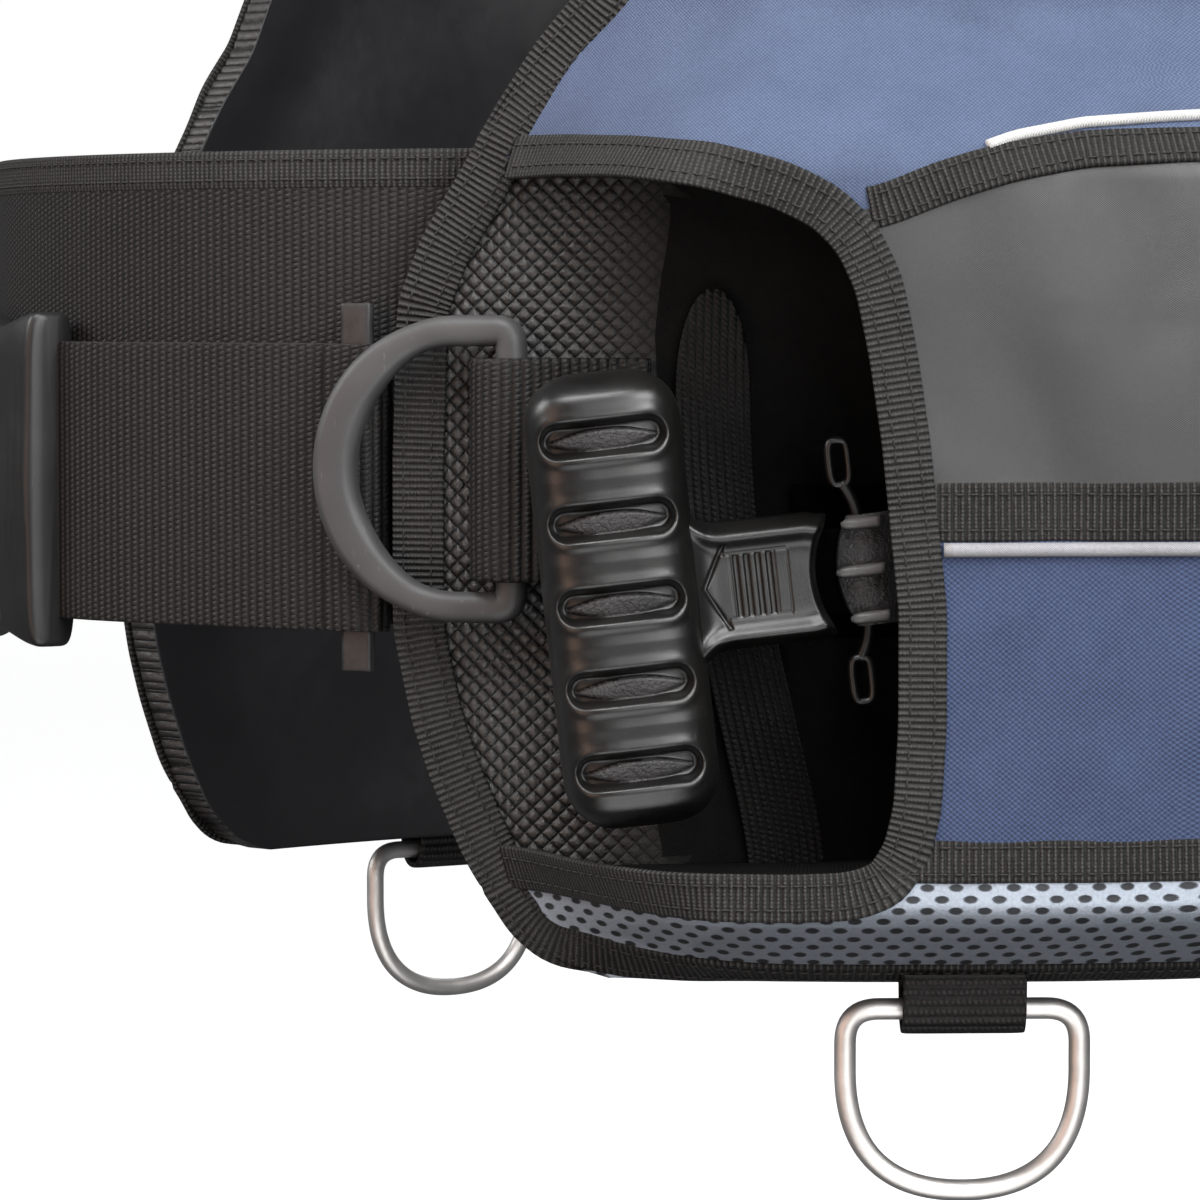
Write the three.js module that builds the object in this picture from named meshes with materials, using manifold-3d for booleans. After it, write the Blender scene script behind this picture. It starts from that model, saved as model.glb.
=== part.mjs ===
// A jacket-style buoyancy compensator vest, in the shape it takes when it is worn.
// Millimetres, +Z up. The wearer faces -Y, and the wearer's left is +X.
// The origin is the centre of the rubber pad that the cylinder bears on.
import * as THREE from "three";
import { mergeVertices } from "three/addons/utils/BufferGeometryUtils.js";
import Module from "manifold-3d";

const wasm = await Module();
wasm.setup();

// ---------- Driving dimensions ----------

const GAP = 0.35; // between pieces that touch
const RUNNING_GAP = 0.6; // round a piece that moves

// The lining's plan: flat across the spine, a tight turn at the ribs, then a slow curve to the front edge.
const SPINE_Y = -38;
const BACK_HALF = 90;
const RIB_RADIUS = 90;
const RIB_TURN = 100; // degrees
const FRONT_RADIUS = 330;
const FRONT_LENGTH = 150;

// Heights.
const HEM_Z = -252;
const ARMPIT_Z = -60;
const LOBE_TOP_Z = 60;
const YOKE_Z = 232;

// The air cell and the padding behind it.
const BACK_THICK = 13;
const WING_THICK = 32; // how far a rear wing stands out beyond the padding
const WING_START = 62;
const REAR_CELL_HALF = 118;
const YOKE_HALF = 92;
const SEAM_GAP = 0.8; // between the rear cell and a lobe, where they are sewn together

// A front lobe.
const LOBE_EDGE = 9;
const LOBE_THICK = 30;
const POCKET_BULGE = 32;
const ARMHOLE_FRONT = 285; // along the lining from the spine
const FRONT_TAPER = 58;

// The hard backplate, its pad and the cylinder it carries.
const PLATE_HALF = 58;
const PLATE_TOP_Z = 190;
const PLATE_THICK = 10;
const PLATE_CORNER = 18;
const PAD_HALF = 30;
const PAD_HEIGHT = 110;
const PAD_THICK = 3.7;
const TANK_RADIUS = 92;
const BAND_WIDTH = 50;
const BAND_THICK = 2.5;
const BAND_Z = 10;
const SLOT_X = 48;

// The waist belt.
const CUMMERBUND_WIDTH = 102;
const CUMMERBUND_Z = -127;
const WEB_THICK = 2.5;
const BELT_WEB_WIDTH = 62;
const BELT_WEB_Z = -148.5;
const STAY_WIDTH = 8;
const STAY_THICK = 3;
const STAY_LENGTH = 79;

// The weight pouch, which slides out along a straight line that leans down towards the front.
const PULL_S = 275; // the line is parallel to the lining here
const PULL_LEAN = 6.4; // degrees
const LATCH_S = 308; // the back end of the handle's stem
const LATCH_Z = -161;
const GRIP_LENGTH = 94;
const GRIP_WIDTH = 31;
const GRIP_CORNER = 11;
const GRIP_LOW = 20; // heights over the lining's tangent plane
const GRIP_HIGH = 47;
const STEM_LENGTH = 26.2;
const STEM_WIDTH = 26;
const STEM_LOW = 22;
const STEM_HIGH = 40;
const STEM_DISH = 4; // depth of the hollow in the stem's back end
const TONGUE_HIGH = 27;
const LATCH_THICK = 3.4;
const LATCH_HALF = 11.5;
const LATCH_REACH = 27.5;
const LATCH_DEPTH = 14.2;
const RIB_PITCH = 10.5;
const POUCH_LENGTH = 85;
const POUCH_HEIGHT = 108;
const POUCH_LOW = 15;
const POUCH_HIGH = 49;
const POUCH_CLEARANCE = 5;
const LINING_THICK = 9; // the wall left behind the pocket

// Rings.
const RING_WIDTH = 65; // the plastic ring, along its bar
const RING_DEPTH = 44;
const RING_BAR = 6.6;
const RING_BOW = 9.5;
const RING_S = 370;
const RING_RISE = 16;
const RING_Z = -144;
const STEEL_WIRE = 6.5;
const STEEL_WIDTH = 54;
const STEEL_DROP = 41;
const STEEL_S = 279;
const STEEL_OUT = 17;

// The shoulder harness.
const PAD_WIDTH = 62;
const SHOULDER_THICK = 14;
const LOWER_WEB_WIDTH = 38;
const CHEST_WEB_WIDTH = 25;

// The inflator.
const HOSE_RADIUS = 14;
const KEEPER_WALL = 2.2;
const HOSE_OFFSET = 13; // outwards from the middle of the shoulder pad
const HOSE_KEEPER_T = 0.95;
const VALVE_Z = 140;
const REAR_DUMP_Z = -170;
const BODY_RADIUS = 14;
const BODY_LENGTH = 84;

// ---------- Helpers ----------

const rad = THREE.MathUtils.degToRad;
const lerp = THREE.MathUtils.lerp;
const vec = (x, y, z) => new THREE.Vector3(x, y, z);

// A smooth rise from 0 at a to 1 at b.
function ramp(x, a, b) {
  const t = THREE.MathUtils.clamp((x - a) / (b - a), 0, 1);
  return t * t * (3 - 2 * t);
}

// Straight-line interpolation in a list of [x, y] pairs that rise in x.
function table(pairs, x) {
  if (x <= pairs[0][0]) return pairs[0][1];
  for (let i = 1; i < pairs.length; i++) {
    const [x0, y0] = pairs[i - 1];
    const [x1, y1] = pairs[i];
    if (x <= x1) return lerp(y0, y1, (x - x0) / (x1 - x0));
  }
  return pairs[pairs.length - 1][1];
}

// The geometry as a manifold solid. Its faces are turned to point outwards.
function toSolid(geometry) {
  const bare = new THREE.BufferGeometry();
  const flat = geometry.index ? geometry.toNonIndexed() : geometry;
  bare.setAttribute("position", flat.getAttribute("position").clone());
  const merged = mergeVertices(bare, 1e-3);
  const position = merged.getAttribute("position");
  const index = merged.index.array;
  const corner = [vec(), vec(), vec()];
  let volume = 0;
  for (let i = 0; i < index.length; i += 3) {
    corner.forEach((c, k) => c.fromBufferAttribute(position, index[i + k]));
    volume += corner[0].dot(corner[1].clone().cross(corner[2]));
  }
  if (volume < 0) {
    for (let i = 0; i < index.length; i += 3) [index[i], index[i + 1]] = [index[i + 1], index[i]];
  }
  const triVerts = new Uint32Array(index);
  return new wasm.Manifold(new wasm.Mesh({ numProp: 3, vertProperties: position.array, triVerts }));
}

function toGeometry(solid) {
  const mesh = solid.getMesh();
  const geometry = new THREE.BufferGeometry();
  geometry.setAttribute("position", new THREE.BufferAttribute(mesh.vertProperties, 3));
  geometry.setIndex(new THREE.BufferAttribute(mesh.triVerts, 1));
  geometry.computeVertexNormals();
  return geometry;
}

const join = (...parts) => toGeometry(parts.map(toSolid).reduce((a, b) => a.add(b)));
const cut = (part, ...tools) => toGeometry(tools.map(toSolid).reduce((a, b) => a.subtract(b), toSolid(part)));

// A box of cells whose vertices are moved to place(u, v, w), with u, v and w from 0 to 1.
function mapped(cols, rows, layers, place) {
  const box = new THREE.BoxGeometry(1, 1, 1, cols, rows, layers);
  const position = box.getAttribute("position");
  for (let i = 0; i < position.count; i++) {
    const p = place(position.getX(i) + 0.5, position.getY(i) + 0.5, position.getZ(i) + 0.5);
    position.setXYZ(i, p.x, p.y, p.z);
  }
  return toGeometry(toSolid(box));
}

// A plain box between two corners.
function block(x0, x1, y0, y1, z0, z1) {
  const box = new THREE.BoxGeometry(x1 - x0, y1 - y0, z1 - z0);
  return box.translate((x0 + x1) / 2, (y0 + y1) / 2, (z0 + z1) / 2);
}

// A rounded rectangle, as an outline in its own plane.
function roundedOutline(width, height, radius) {
  const w = width / 2;
  const h = height / 2;
  const shape = new THREE.Shape();
  shape.moveTo(w, -h + radius);
  shape.absarc(w - radius, h - radius, radius, 0, Math.PI / 2);
  shape.absarc(-w + radius, h - radius, radius, Math.PI / 2, Math.PI);
  shape.absarc(-w + radius, -h + radius, radius, Math.PI, 1.5 * Math.PI);
  shape.absarc(w - radius, -h + radius, radius, 1.5 * Math.PI, 2 * Math.PI);
  return shape;
}

// The outline pushed from z = low to z = high, with its rims bevelled.
function plate(shape, low, high, bevel = 0, curveSegments = 4) {
  const depth = high - low - 2 * bevel;
  const options = {
    depth,
    curveSegments,
    bevelEnabled: bevel > 0,
    bevelThickness: bevel,
    bevelSize: bevel,
    bevelOffset: -bevel,
    bevelSegments: 1,
  };
  return new THREE.ExtrudeGeometry(shape, options).translate(0, 0, low + bevel);
}

// A round tube along a curve.
function tube(curve, radius, sides, steps) {
  const circle = new THREE.Shape().absarc(0, 0, radius, 0, 2 * Math.PI);
  const options = { steps, curveSegments: sides, bevelEnabled: false, extrudePath: curve };
  return new THREE.ExtrudeGeometry(circle, options);
}

// A cylinder between two points.
function rod(from, to, radius, sides = 12) {
  const along = to.clone().sub(from);
  const turn = new THREE.Quaternion().setFromUnitVectors(vec(0, 1, 0), along.clone().normalize());
  const rodGeometry = new THREE.CylinderGeometry(radius, radius, along.length(), sides);
  const middle = from.clone().add(to).multiplyScalar(0.5);
  return rodGeometry.applyQuaternion(turn).translate(middle.x, middle.y, middle.z);
}

// ---------- The lining's plan curve ----------

const RIB_END = BACK_HALF + RIB_RADIUS * rad(RIB_TURN);
const FRONT_EDGE = RIB_END + FRONT_LENGTH;
const EDGE_HEADING = rad(RIB_TURN) + FRONT_LENGTH / FRONT_RADIUS;

// A stretch of the plan: an arc of the given radius from start, or a line where radius is 0.
function along(start, heading, radius, distance) {
  if (!radius) {
    const ahead = vec(Math.cos(heading), -Math.sin(heading), 0);
    return { point: start.clone().addScaledVector(ahead, distance), heading };
  }
  const turned = heading + distance / radius;
  const dx = radius * (Math.sin(turned) - Math.sin(heading));
  const dy = radius * (Math.cos(turned) - Math.cos(heading));
  return { point: vec(start.x + dx, start.y + dy, 0), heading: turned };
}

const RIB_FOOT = along(vec(BACK_HALF, SPINE_Y, 0), 0, RIB_RADIUS, RIB_END - BACK_HALF).point;
const FRONT_FOOT = along(RIB_FOOT, rad(RIB_TURN), FRONT_RADIUS, FRONT_LENGTH).point;
const BELLY_RADIUS = FRONT_FOOT.x / Math.sin(EDGE_HEADING);
const CENTRE_FRONT = FRONT_EDGE + BELLY_RADIUS * (Math.PI - EDGE_HEADING);

// The lining at a distance s round from the spine, with the heading there.
function plan(s) {
  if (s <= BACK_HALF) return along(vec(0, SPINE_Y, 0), 0, 0, s);
  if (s <= RIB_END) return along(vec(BACK_HALF, SPINE_Y, 0), 0, RIB_RADIUS, s - BACK_HALF);
  if (s <= FRONT_EDGE) return along(RIB_FOOT, rad(RIB_TURN), FRONT_RADIUS, s - RIB_END);
  return along(FRONT_FOOT, EDGE_HEADING, BELLY_RADIUS, s - FRONT_EDGE);
}

const outwardAt = (heading) => vec(Math.sin(heading), Math.cos(heading), 0);
const forwardAt = (heading) => vec(Math.cos(heading), -Math.sin(heading), 0);

// A point over the lining: s round from the spine, z up, n outwards. A negative s is on the wearer's right.
function over(s, z, n) {
  const { point, heading } = plan(Math.abs(s));
  const p = point.addScaledVector(outwardAt(heading), n).setZ(z);
  if (s < 0) p.x = -p.x;
  return p;
}

// A slab over the lining, between two distances, two heights and two levels.
function slab(s0, s1, z0, z1, n0, n1, pitch = 16) {
  const cols = Math.max(1, Math.ceil(Math.abs(s1 - s0) / pitch));
  return mapped(cols, 1, 1, (u, v, w) => over(lerp(s0, s1, u), lerp(z0, z1, v), lerp(n0, n1, w)));
}

// A straight frame over the lining: x forwards, y down, z outwards.
function frameOver(s, z, n, headingS, lean = 0) {
  const { heading } = plan(headingS);
  const out = outwardAt(heading);
  const ahead = forwardAt(heading);
  const x = ahead.multiplyScalar(Math.cos(rad(lean))).add(vec(0, 0, -Math.sin(rad(lean))));
  const y = out.clone().cross(x);
  const frame = new THREE.Matrix4().makeBasis(x, y, out);
  return frame.setPosition(over(s, z, n));
}

// ---------- Materials ----------

const material = (color, roughness, metalness = 0) =>
  new THREE.MeshStandardMaterial({ color, roughness, metalness });
const BLUE_SHELL = material(0x5a6f9e, 0.8);
const LINING_FABRIC = material(0x2c2c2e, 0.85);
const WEBBING = material(0x1c1a19, 0.8);
const HARD_PLASTIC = material(0x151515, 0.45);
const STEEL = material(0xb9b2a8, 0.35, 1);
const RUBBER = material(0x111111, 0.7);
const CLEAR_PLASTIC = material(0x8c867c, 0.3);

const vest = new THREE.Group();

function add(name, geometry, finish) {
  const mesh = new THREE.Mesh(geometry, finish);
  mesh.name = name;
  vest.add(mesh);
  return mesh;
}

// The same piece on both sides of the vest.
function addPair(name, geometry, finish) {
  add("left_" + name, geometry, finish);
  add("right_" + name, geometry, finish).scale.x = -1;
}

// ---------- The air cell ----------

const WING_CREST = (WING_START + REAR_CELL_HALF) / 2;
const VALVE_BACK = SPINE_Y + BACK_THICK + WING_THICK - 4 + GAP;
const VALVE_SEATS = [[WING_CREST, VALVE_Z], [-WING_CREST, VALVE_Z], [-WING_CREST, REAR_DUMP_Z]];

const REAR_ROWS = [HEM_Z, -240, -222, -200, -90, 40, 150, 182, 198, 215, YOKE_Z];
const WING_COLUMNS = 6;

// How far a rear wing stands out, with t from 0 at its root to 1 at the seam.
function wingRise(t, z) {
  const ends = ramp(z, HEM_Z, HEM_Z + 50) * (1 - ramp(z, YOKE_Z - 50, YOKE_Z));
  return WING_THICK * Math.sqrt(Math.sin(Math.PI * t)) * ends;
}

function rearCell() {
  const cols = 2 * WING_COLUMNS + 1;
  const body = mapped(cols, REAR_ROWS.length - 1, 1, (u, v, w) => {
    const z = REAR_ROWS[Math.round(v * (REAR_ROWS.length - 1))];
    const half = lerp(REAR_CELL_HALF, YOKE_HALF, ramp(z, 190, YOKE_Z));
    const column = Math.round(Math.abs(2 * u - 1) * cols);
    const t = (column - 1) / (cols - 1);
    const s = Math.sign(u - 0.5) * lerp(WING_START, half, t);
    return over(s, z, w * (BACK_THICK + wingRise(t, z)));
  });
  return cut(body, ...VALVE_SEATS.map(([x, z]) => rod(vec(x, VALVE_BACK - GAP, z), vec(x, 30, z), 25.5, 16)));
}

// The front edge of a lobe, as [height, how far it stands back from the foremost edge].
const EDGE_SETBACK = [
  [HEM_Z, 46], [HEM_Z + 3, 35], [HEM_Z + 13, 23], [HEM_Z + 28, 14.5], [HEM_Z + 43, 8], [HEM_Z + 55, 4],
  [-178, 0], [-143, 0], [-110, 1],
  [-97, 6], [-83, 14.5], [-70, 21], [-57, 30], [-45, 40], [-20, 52], [10, 59], [LOBE_TOP_Z, 62],
];
const lobeFront = (z) => FRONT_EDGE - table(EDGE_SETBACK, z);

// The back edge of a lobe: the seam, then the armhole's quarter ellipse.
function lobeBack(z) {
  const seam = REAR_CELL_HALF + SEAM_GAP;
  const rise = THREE.MathUtils.clamp((z - ARMPIT_Z) / (LOBE_TOP_Z - ARMPIT_Z), 0, 1);
  return lerp(seam, ARMHOLE_FRONT, Math.sqrt(1 - (1 - rise) ** 2));
}

function lobeOuter(s, z) {
  const bulge = POCKET_BULGE * ramp(s, 140, 195) * (1 - ramp(z, -84, -45));
  const inFromFront = ramp(lobeFront(z) - s, 0, FRONT_TAPER);
  const upFromHem = ramp(z - HEM_Z, -4, 22);
  const inFromBack = lerp(ramp(s - lobeBack(z), -25, 30), 1, z < ARMPIT_Z ? 0.55 : 0);
  const downFromTop = ramp(LOBE_TOP_Z - z, -25, 40);
  const fullness = inFromFront * upFromHem * inFromBack * downFromTop;
  return LOBE_EDGE + (LOBE_THICK + bulge - LOBE_EDGE) * fullness;
}

const LOBE_ROWS = [0, 5, 15, 30, 45].map((up) => HEM_Z + up)
  .concat([-180, -145, -110, -96, -82, -70, ARMPIT_Z, -45, -20, 15, 40, LOBE_TOP_Z]);

function lobeBody() {
  return mapped(12, LOBE_ROWS.length - 1, 1, (u, v, w) => {
    const z = LOBE_ROWS[Math.round(v * (LOBE_ROWS.length - 1))];
    const s = lerp(lobeBack(z), lobeFront(z), u);
    return over(s, z, w * lobeOuter(s, z));
  });
}

// ---------- The weight pocket ----------

const PULL_FRAME = frameOver(PULL_S, LATCH_Z, 0, PULL_S, PULL_LEAN)
  .multiply(new THREE.Matrix4().makeTranslation(LATCH_S - PULL_S, 0, 0));
const inPullFrame = (geometry) => geometry.applyMatrix4(PULL_FRAME);

// The back edge of the pocket's mouth, as [height, distance round from the spine].
const MOUTH_EDGE = [
  [-227, 305], [-224.5, 298], [-219.5, 294.5], [-211, 293.4], [-170, 293.4], [-132.6, 296.2], [-107.6, 302.6],
  [-98, 307], [-90, 313], [-84.5, 324], [-81.6, 335], [-79.5, 359],
];

// Takes the outer wall away in front of the pocket's edge.
function mouthTool() {
  const rows = MOUTH_EDGE.length - 1;
  return mapped(8, rows, 1, (u, v, w) => {
    const [z, back] = MOUTH_EDGE[Math.round(v * rows)];
    return over(lerp(back, FRONT_EDGE + 18, u), z, lerp(LINING_THICK, 110, w));
  });
}

// How thick the pouch is at x in the pull frame: it thins towards its rounded back end.
const pouchTop = (x) => POUCH_HIGH - 14 * ramp(-x, 62, LATCH_DEPTH + POUCH_LENGTH + 5);

// The hollow that the pouch slides in, with its clearance all round.
function hollowTool() {
  const back = -(LATCH_DEPTH + POUCH_LENGTH + POUCH_CLEARANCE);
  const half = POUCH_HEIGHT / 2 + POUCH_CLEARANCE;
  return inPullFrame(
    mapped(6, 1, 1, (u, v, w) => {
      const x = lerp(back, 20, u);
      return vec(x, lerp(-half, half, v), lerp(LINING_THICK - 0.8, pouchTop(x) + POUCH_CLEARANCE, w));
    }),
  );
}

const lobe = () => cut(lobeBody(), mouthTool(), hollowTool());

function pouch() {
  const front = -LATCH_DEPTH - GAP;
  return inPullFrame(
    mapped(5, 4, 1, (u, v, w) => {
      const x = lerp(front - POUCH_LENGTH, front, u);
      const round = 5 * Math.abs(2 * v - 1) ** 3;
      const high = pouchTop(x) - round;
      return vec(x, (v - 0.5) * POUCH_HEIGHT, lerp(POUCH_LOW + round / 2, high, w));
    }),
  );
}

// The pull handle: a ribbed grip across a short flared stem, with a tongue that runs back to the pouch.
function weightHandle() {
  const gripMiddle = STEM_LENGTH + GRIP_WIDTH / 2;
  const grip = plate(roundedOutline(GRIP_WIDTH, GRIP_LENGTH, GRIP_CORNER), GRIP_LOW, GRIP_HIGH, 6, 3);
  grip.translate(gripMiddle, 0, 0);
  const half = STEM_WIDTH / 2;
  const dishRadius = (half * half + STEM_DISH * STEM_DISH) / (2 * STEM_DISH);
  const dishAngle = Math.asin(half / dishRadius);
  const outline = new THREE.Shape();
  outline.moveTo(0, half);
  outline.absarc(STEM_DISH - dishRadius, 0, dishRadius, dishAngle, -dishAngle, true);
  outline.lineTo(STEM_LENGTH - 8, -half);
  outline.quadraticCurveTo(STEM_LENGTH - 1, -half, STEM_LENGTH + 1, -half - 9);
  outline.lineTo(STEM_LENGTH + 6, -half - 9);
  outline.lineTo(STEM_LENGTH + 6, half + 9);
  outline.lineTo(STEM_LENGTH + 1, half + 9);
  outline.quadraticCurveTo(STEM_LENGTH - 1, half, STEM_LENGTH - 8, half);
  const stem = plate(outline, STEM_LOW, STEM_HIGH, 0, 5);
  const tongue = block(-LATCH_DEPTH, 8, -half + 4, half - 4, STEM_LOW, TONGUE_HIGH);
  const grooves = [-2, -1, 0, 1, 2].map((k) => {
    const groove = new THREE.CylinderGeometry(3, 3, GRIP_WIDTH - 8, 8);
    groove.rotateZ(Math.PI / 2);
    return groove.translate(gripMiddle - 1.7, k * 17, GRIP_HIGH + 0.6);
  });
  return inPullFrame(cut(join(grip, stem, tongue), ...grooves));
}

// The spring latch behind the stem: a plate with a bowed front, three ribs and two looped arms.
function latchPlate() {
  const low = TONGUE_HIGH + GAP;
  const high = low + LATCH_THICK;
  const outline = new THREE.Shape();
  outline.moveTo(-LATCH_DEPTH, -LATCH_HALF);
  outline.lineTo(-5, -LATCH_HALF);
  outline.quadraticCurveTo(1, 0, -5, LATCH_HALF);
  outline.lineTo(-LATCH_DEPTH, LATCH_HALF);
  const base = plate(outline, low, high, 0, 5);
  const ribs = [-1, 0, 1].map((k) => {
    const front = k ? -5.5 : -3;
    return rod(vec(-LATCH_DEPTH, k * RIB_PITCH * 0.93, high), vec(front, k * RIB_PITCH * 0.93, high), 1.1, 6);
  });
  const loopLength = 9;
  const arms = [-1, 1].map((side) => {
    const middle = side * (LATCH_REACH - loopLength / 2);
    const loop = cut(
      block(-10.5, -5.5, middle - loopLength / 2, middle + loopLength / 2, low, high),
      block(-9, -7, middle - loopLength / 2 + 1.5, middle + loopLength / 2 - 1.5, low - 1, high + 1),
    );
    const inner = side * (LATCH_HALF - 2);
    const outer = side * (LATCH_REACH - loopLength + 1);
    const neck = block(-9.2, -6.6, Math.min(inner, outer), Math.max(inner, outer), low, high);
    return join(loop, neck);
  });
  return inPullFrame(join(base, ...ribs, ...arms));
}

// The catch on the pocket's lining, under the stem.
const latchBase = () =>
  slab(282, 313, LATCH_Z - 18, LATCH_Z + 14, LINING_THICK + GAP, POUCH_LOW - RUNNING_GAP, 8);

// A loop of webbing down the inside of the pocket, proud of the lining between its sewn ends.
function pocketStrap() {
  return mapped(1, 8, 1, (u, v, w) => {
    const z = lerp(-224, -92, v);
    const bow = 4 * Math.sin(Math.PI * v) ** 2;
    const back = 316 + 7 * (1 - v) ** 2;
    return over(lerp(back, back + 19, u), z, LINING_THICK + GAP + bow * 0.5 * w + w * WEB_THICK);
  });
}

// ---------- The waist belt ----------

const BELT_LOW = -0.2;
const STAY_S = FRONT_EDGE + 10;

function cummerbund(level) {
  const z0 = CUMMERBUND_Z - CUMMERBUND_WIDTH / 2;
  return mapped(20, 1, 1, (u, v, w) => {
    const s = lerp(290, CENTRE_FRONT + 34, u);
    return over(s, z0 + v * CUMMERBUND_WIDTH, level(s) - w * WEB_THICK);
  });
}

function beltStay(grow = 0) {
  const half = STAY_LENGTH / 2 + (grow ? 10 : 0);
  const low = BELT_LOW + WEB_THICK + GAP;
  const halfWidth = STAY_WIDTH / 2 + grow;
  return slab(STAY_S - halfWidth, STAY_S + halfWidth, BELT_WEB_Z - half, BELT_WEB_Z + half,
    low - grow, low + STAY_THICK + grow);
}

// How far the belt's webbing has risen off the cummerbund where it enters its buckle.
const beltRise = (s) => 3.2 * ramp(s, CENTRE_FRONT - 90, CENTRE_FRONT - 48);

// The belt's webbing, folded back on itself round a flat stay at its outer end.
function waistStrap(grow = 0) {
  const half = BELT_WEB_WIDTH / 2 + grow;
  const end = CENTRE_FRONT - 26 + grow;
  const run = mapped(12, 1, 1, (u, v, w) => {
    const s = lerp(FRONT_EDGE + 3.5, end, u);
    const low = BELT_LOW + beltRise(s);
    return over(s, BELT_WEB_Z + lerp(-half, half, v), lerp(low - grow, low + WEB_THICK + grow, w));
  });
  if (grow) return run;
  const foldTop = BELT_LOW + WEB_THICK + STAY_THICK + 2.2;
  const fold = slab(FRONT_EDGE + 3.5, STAY_S + 7, BELT_WEB_Z - half, BELT_WEB_Z + half, BELT_LOW, foldTop, 6);
  return cut(join(run, fold), beltStay(GAP));
}

// One half of the waist buckle, bowed like the belly, with a slot for its strap.
function waistBuckle() {
  const body = mapped(6, 4, 2, (u, v, w) => {
    const s = lerp(CENTRE_FRONT - 44, CENTRE_FRONT - 0.2, u);
    const half = lerp(38, 33, ramp(u, 0.2, 0.9));
    const y = Math.sin((v - 0.5) * Math.PI);
    const round = 1 - 0.35 * Math.abs(y) ** 4 - 0.25 * Math.max(0, 1 - 4 * u) ** 2;
    return over(s, BELT_WEB_Z + y * half, lerp(0, 13 * round, w));
  });
  return cut(body, waistStrap(0.5));
}

// One half of a side-release buckle, with a slot for its strap. It reaches from x = inner to x = outer.
function buckleHalf(inner, outer, height, back, front, z, strap) {
  const outline = roundedOutline(outer - inner, height, 5);
  const body = plate(outline, 0, back - front, 2, 3);
  body.rotateX(Math.PI / 2).translate((inner + outer) / 2, back, z);
  return cut(body, strap);
}

// ---------- Rings ----------

// The plastic ring's own frame: x forwards from its bar, y along the bar, z outwards.
const RING_FRAME = frameOver(RING_S, RING_Z, RING_RISE, RING_S + 14);

function beltRing() {
  const half = RING_WIDTH / 2;
  const bar = RING_BAR / 2;
  const bow = new THREE.Shape();
  bow.moveTo(-bar, -half + 5);
  bow.quadraticCurveTo(-bar, -half, 4, -half);
  bow.lineTo(12, -half);
  bow.bezierCurveTo(30, -half, RING_DEPTH, -17, RING_DEPTH, 0);
  bow.bezierCurveTo(RING_DEPTH, 17, 30, half, 12, half);
  bow.lineTo(4, half);
  bow.quadraticCurveTo(-bar, half, -bar, half - 5);
  const inner = RING_DEPTH - RING_BOW;
  const innerHalf = half - RING_BAR;
  const hole = new THREE.Path();
  hole.moveTo(bar, -innerHalf + 3);
  hole.quadraticCurveTo(bar, -innerHalf, bar + 3, -innerHalf);
  hole.lineTo(13, -innerHalf);
  hole.bezierCurveTo(24, -innerHalf, inner, -12, inner, 0);
  hole.bezierCurveTo(inner, 12, 24, innerHalf, 13, innerHalf);
  hole.lineTo(bar + 3, innerHalf);
  hole.quadraticCurveTo(bar, innerHalf, bar, innerHalf - 3);
  bow.holes.push(hole);
  return plate(bow, -RING_BAR / 2, RING_BAR / 2, 0, 5).applyMatrix4(RING_FRAME);
}

// The webbing tab that holds the ring's bar to the pocket's lining.
function ringTab() {
  const half = RING_WIDTH / 2 - RING_BAR - 2.4;
  const clear = RING_BAR / Math.SQRT2 + RUNNING_GAP; // the bar's corners turn inside the tab
  const top = RING_RISE + clear + 2;
  const body = mapped(4, 1, 1, (u, v, w) => {
    const s = lerp(341, RING_S + clear + 2, u);
    const high = lerp(LINING_THICK + GAP + 3, top, ramp(s, 346, 366));
    return over(s, RING_Z + (v - 0.5) * 2 * half, lerp(LINING_THICK + GAP, high, w));
  });
  return cut(body, rod(vec(0, -RING_WIDTH, 0), vec(0, RING_WIDTH, 0), clear, 16).applyMatrix4(RING_FRAME));
}

// The steel ring hangs from a tab under the hem. Its frame: x along the bar, y down, z outwards.
const HEM_TAB_DROP = 9;
const STEEL_BAR_Z = HEM_Z - GAP - HEM_TAB_DROP / 2;

function steelFrame() {
  return frameOver(STEEL_S, STEEL_BAR_Z, STEEL_OUT, STEEL_S);
}

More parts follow.
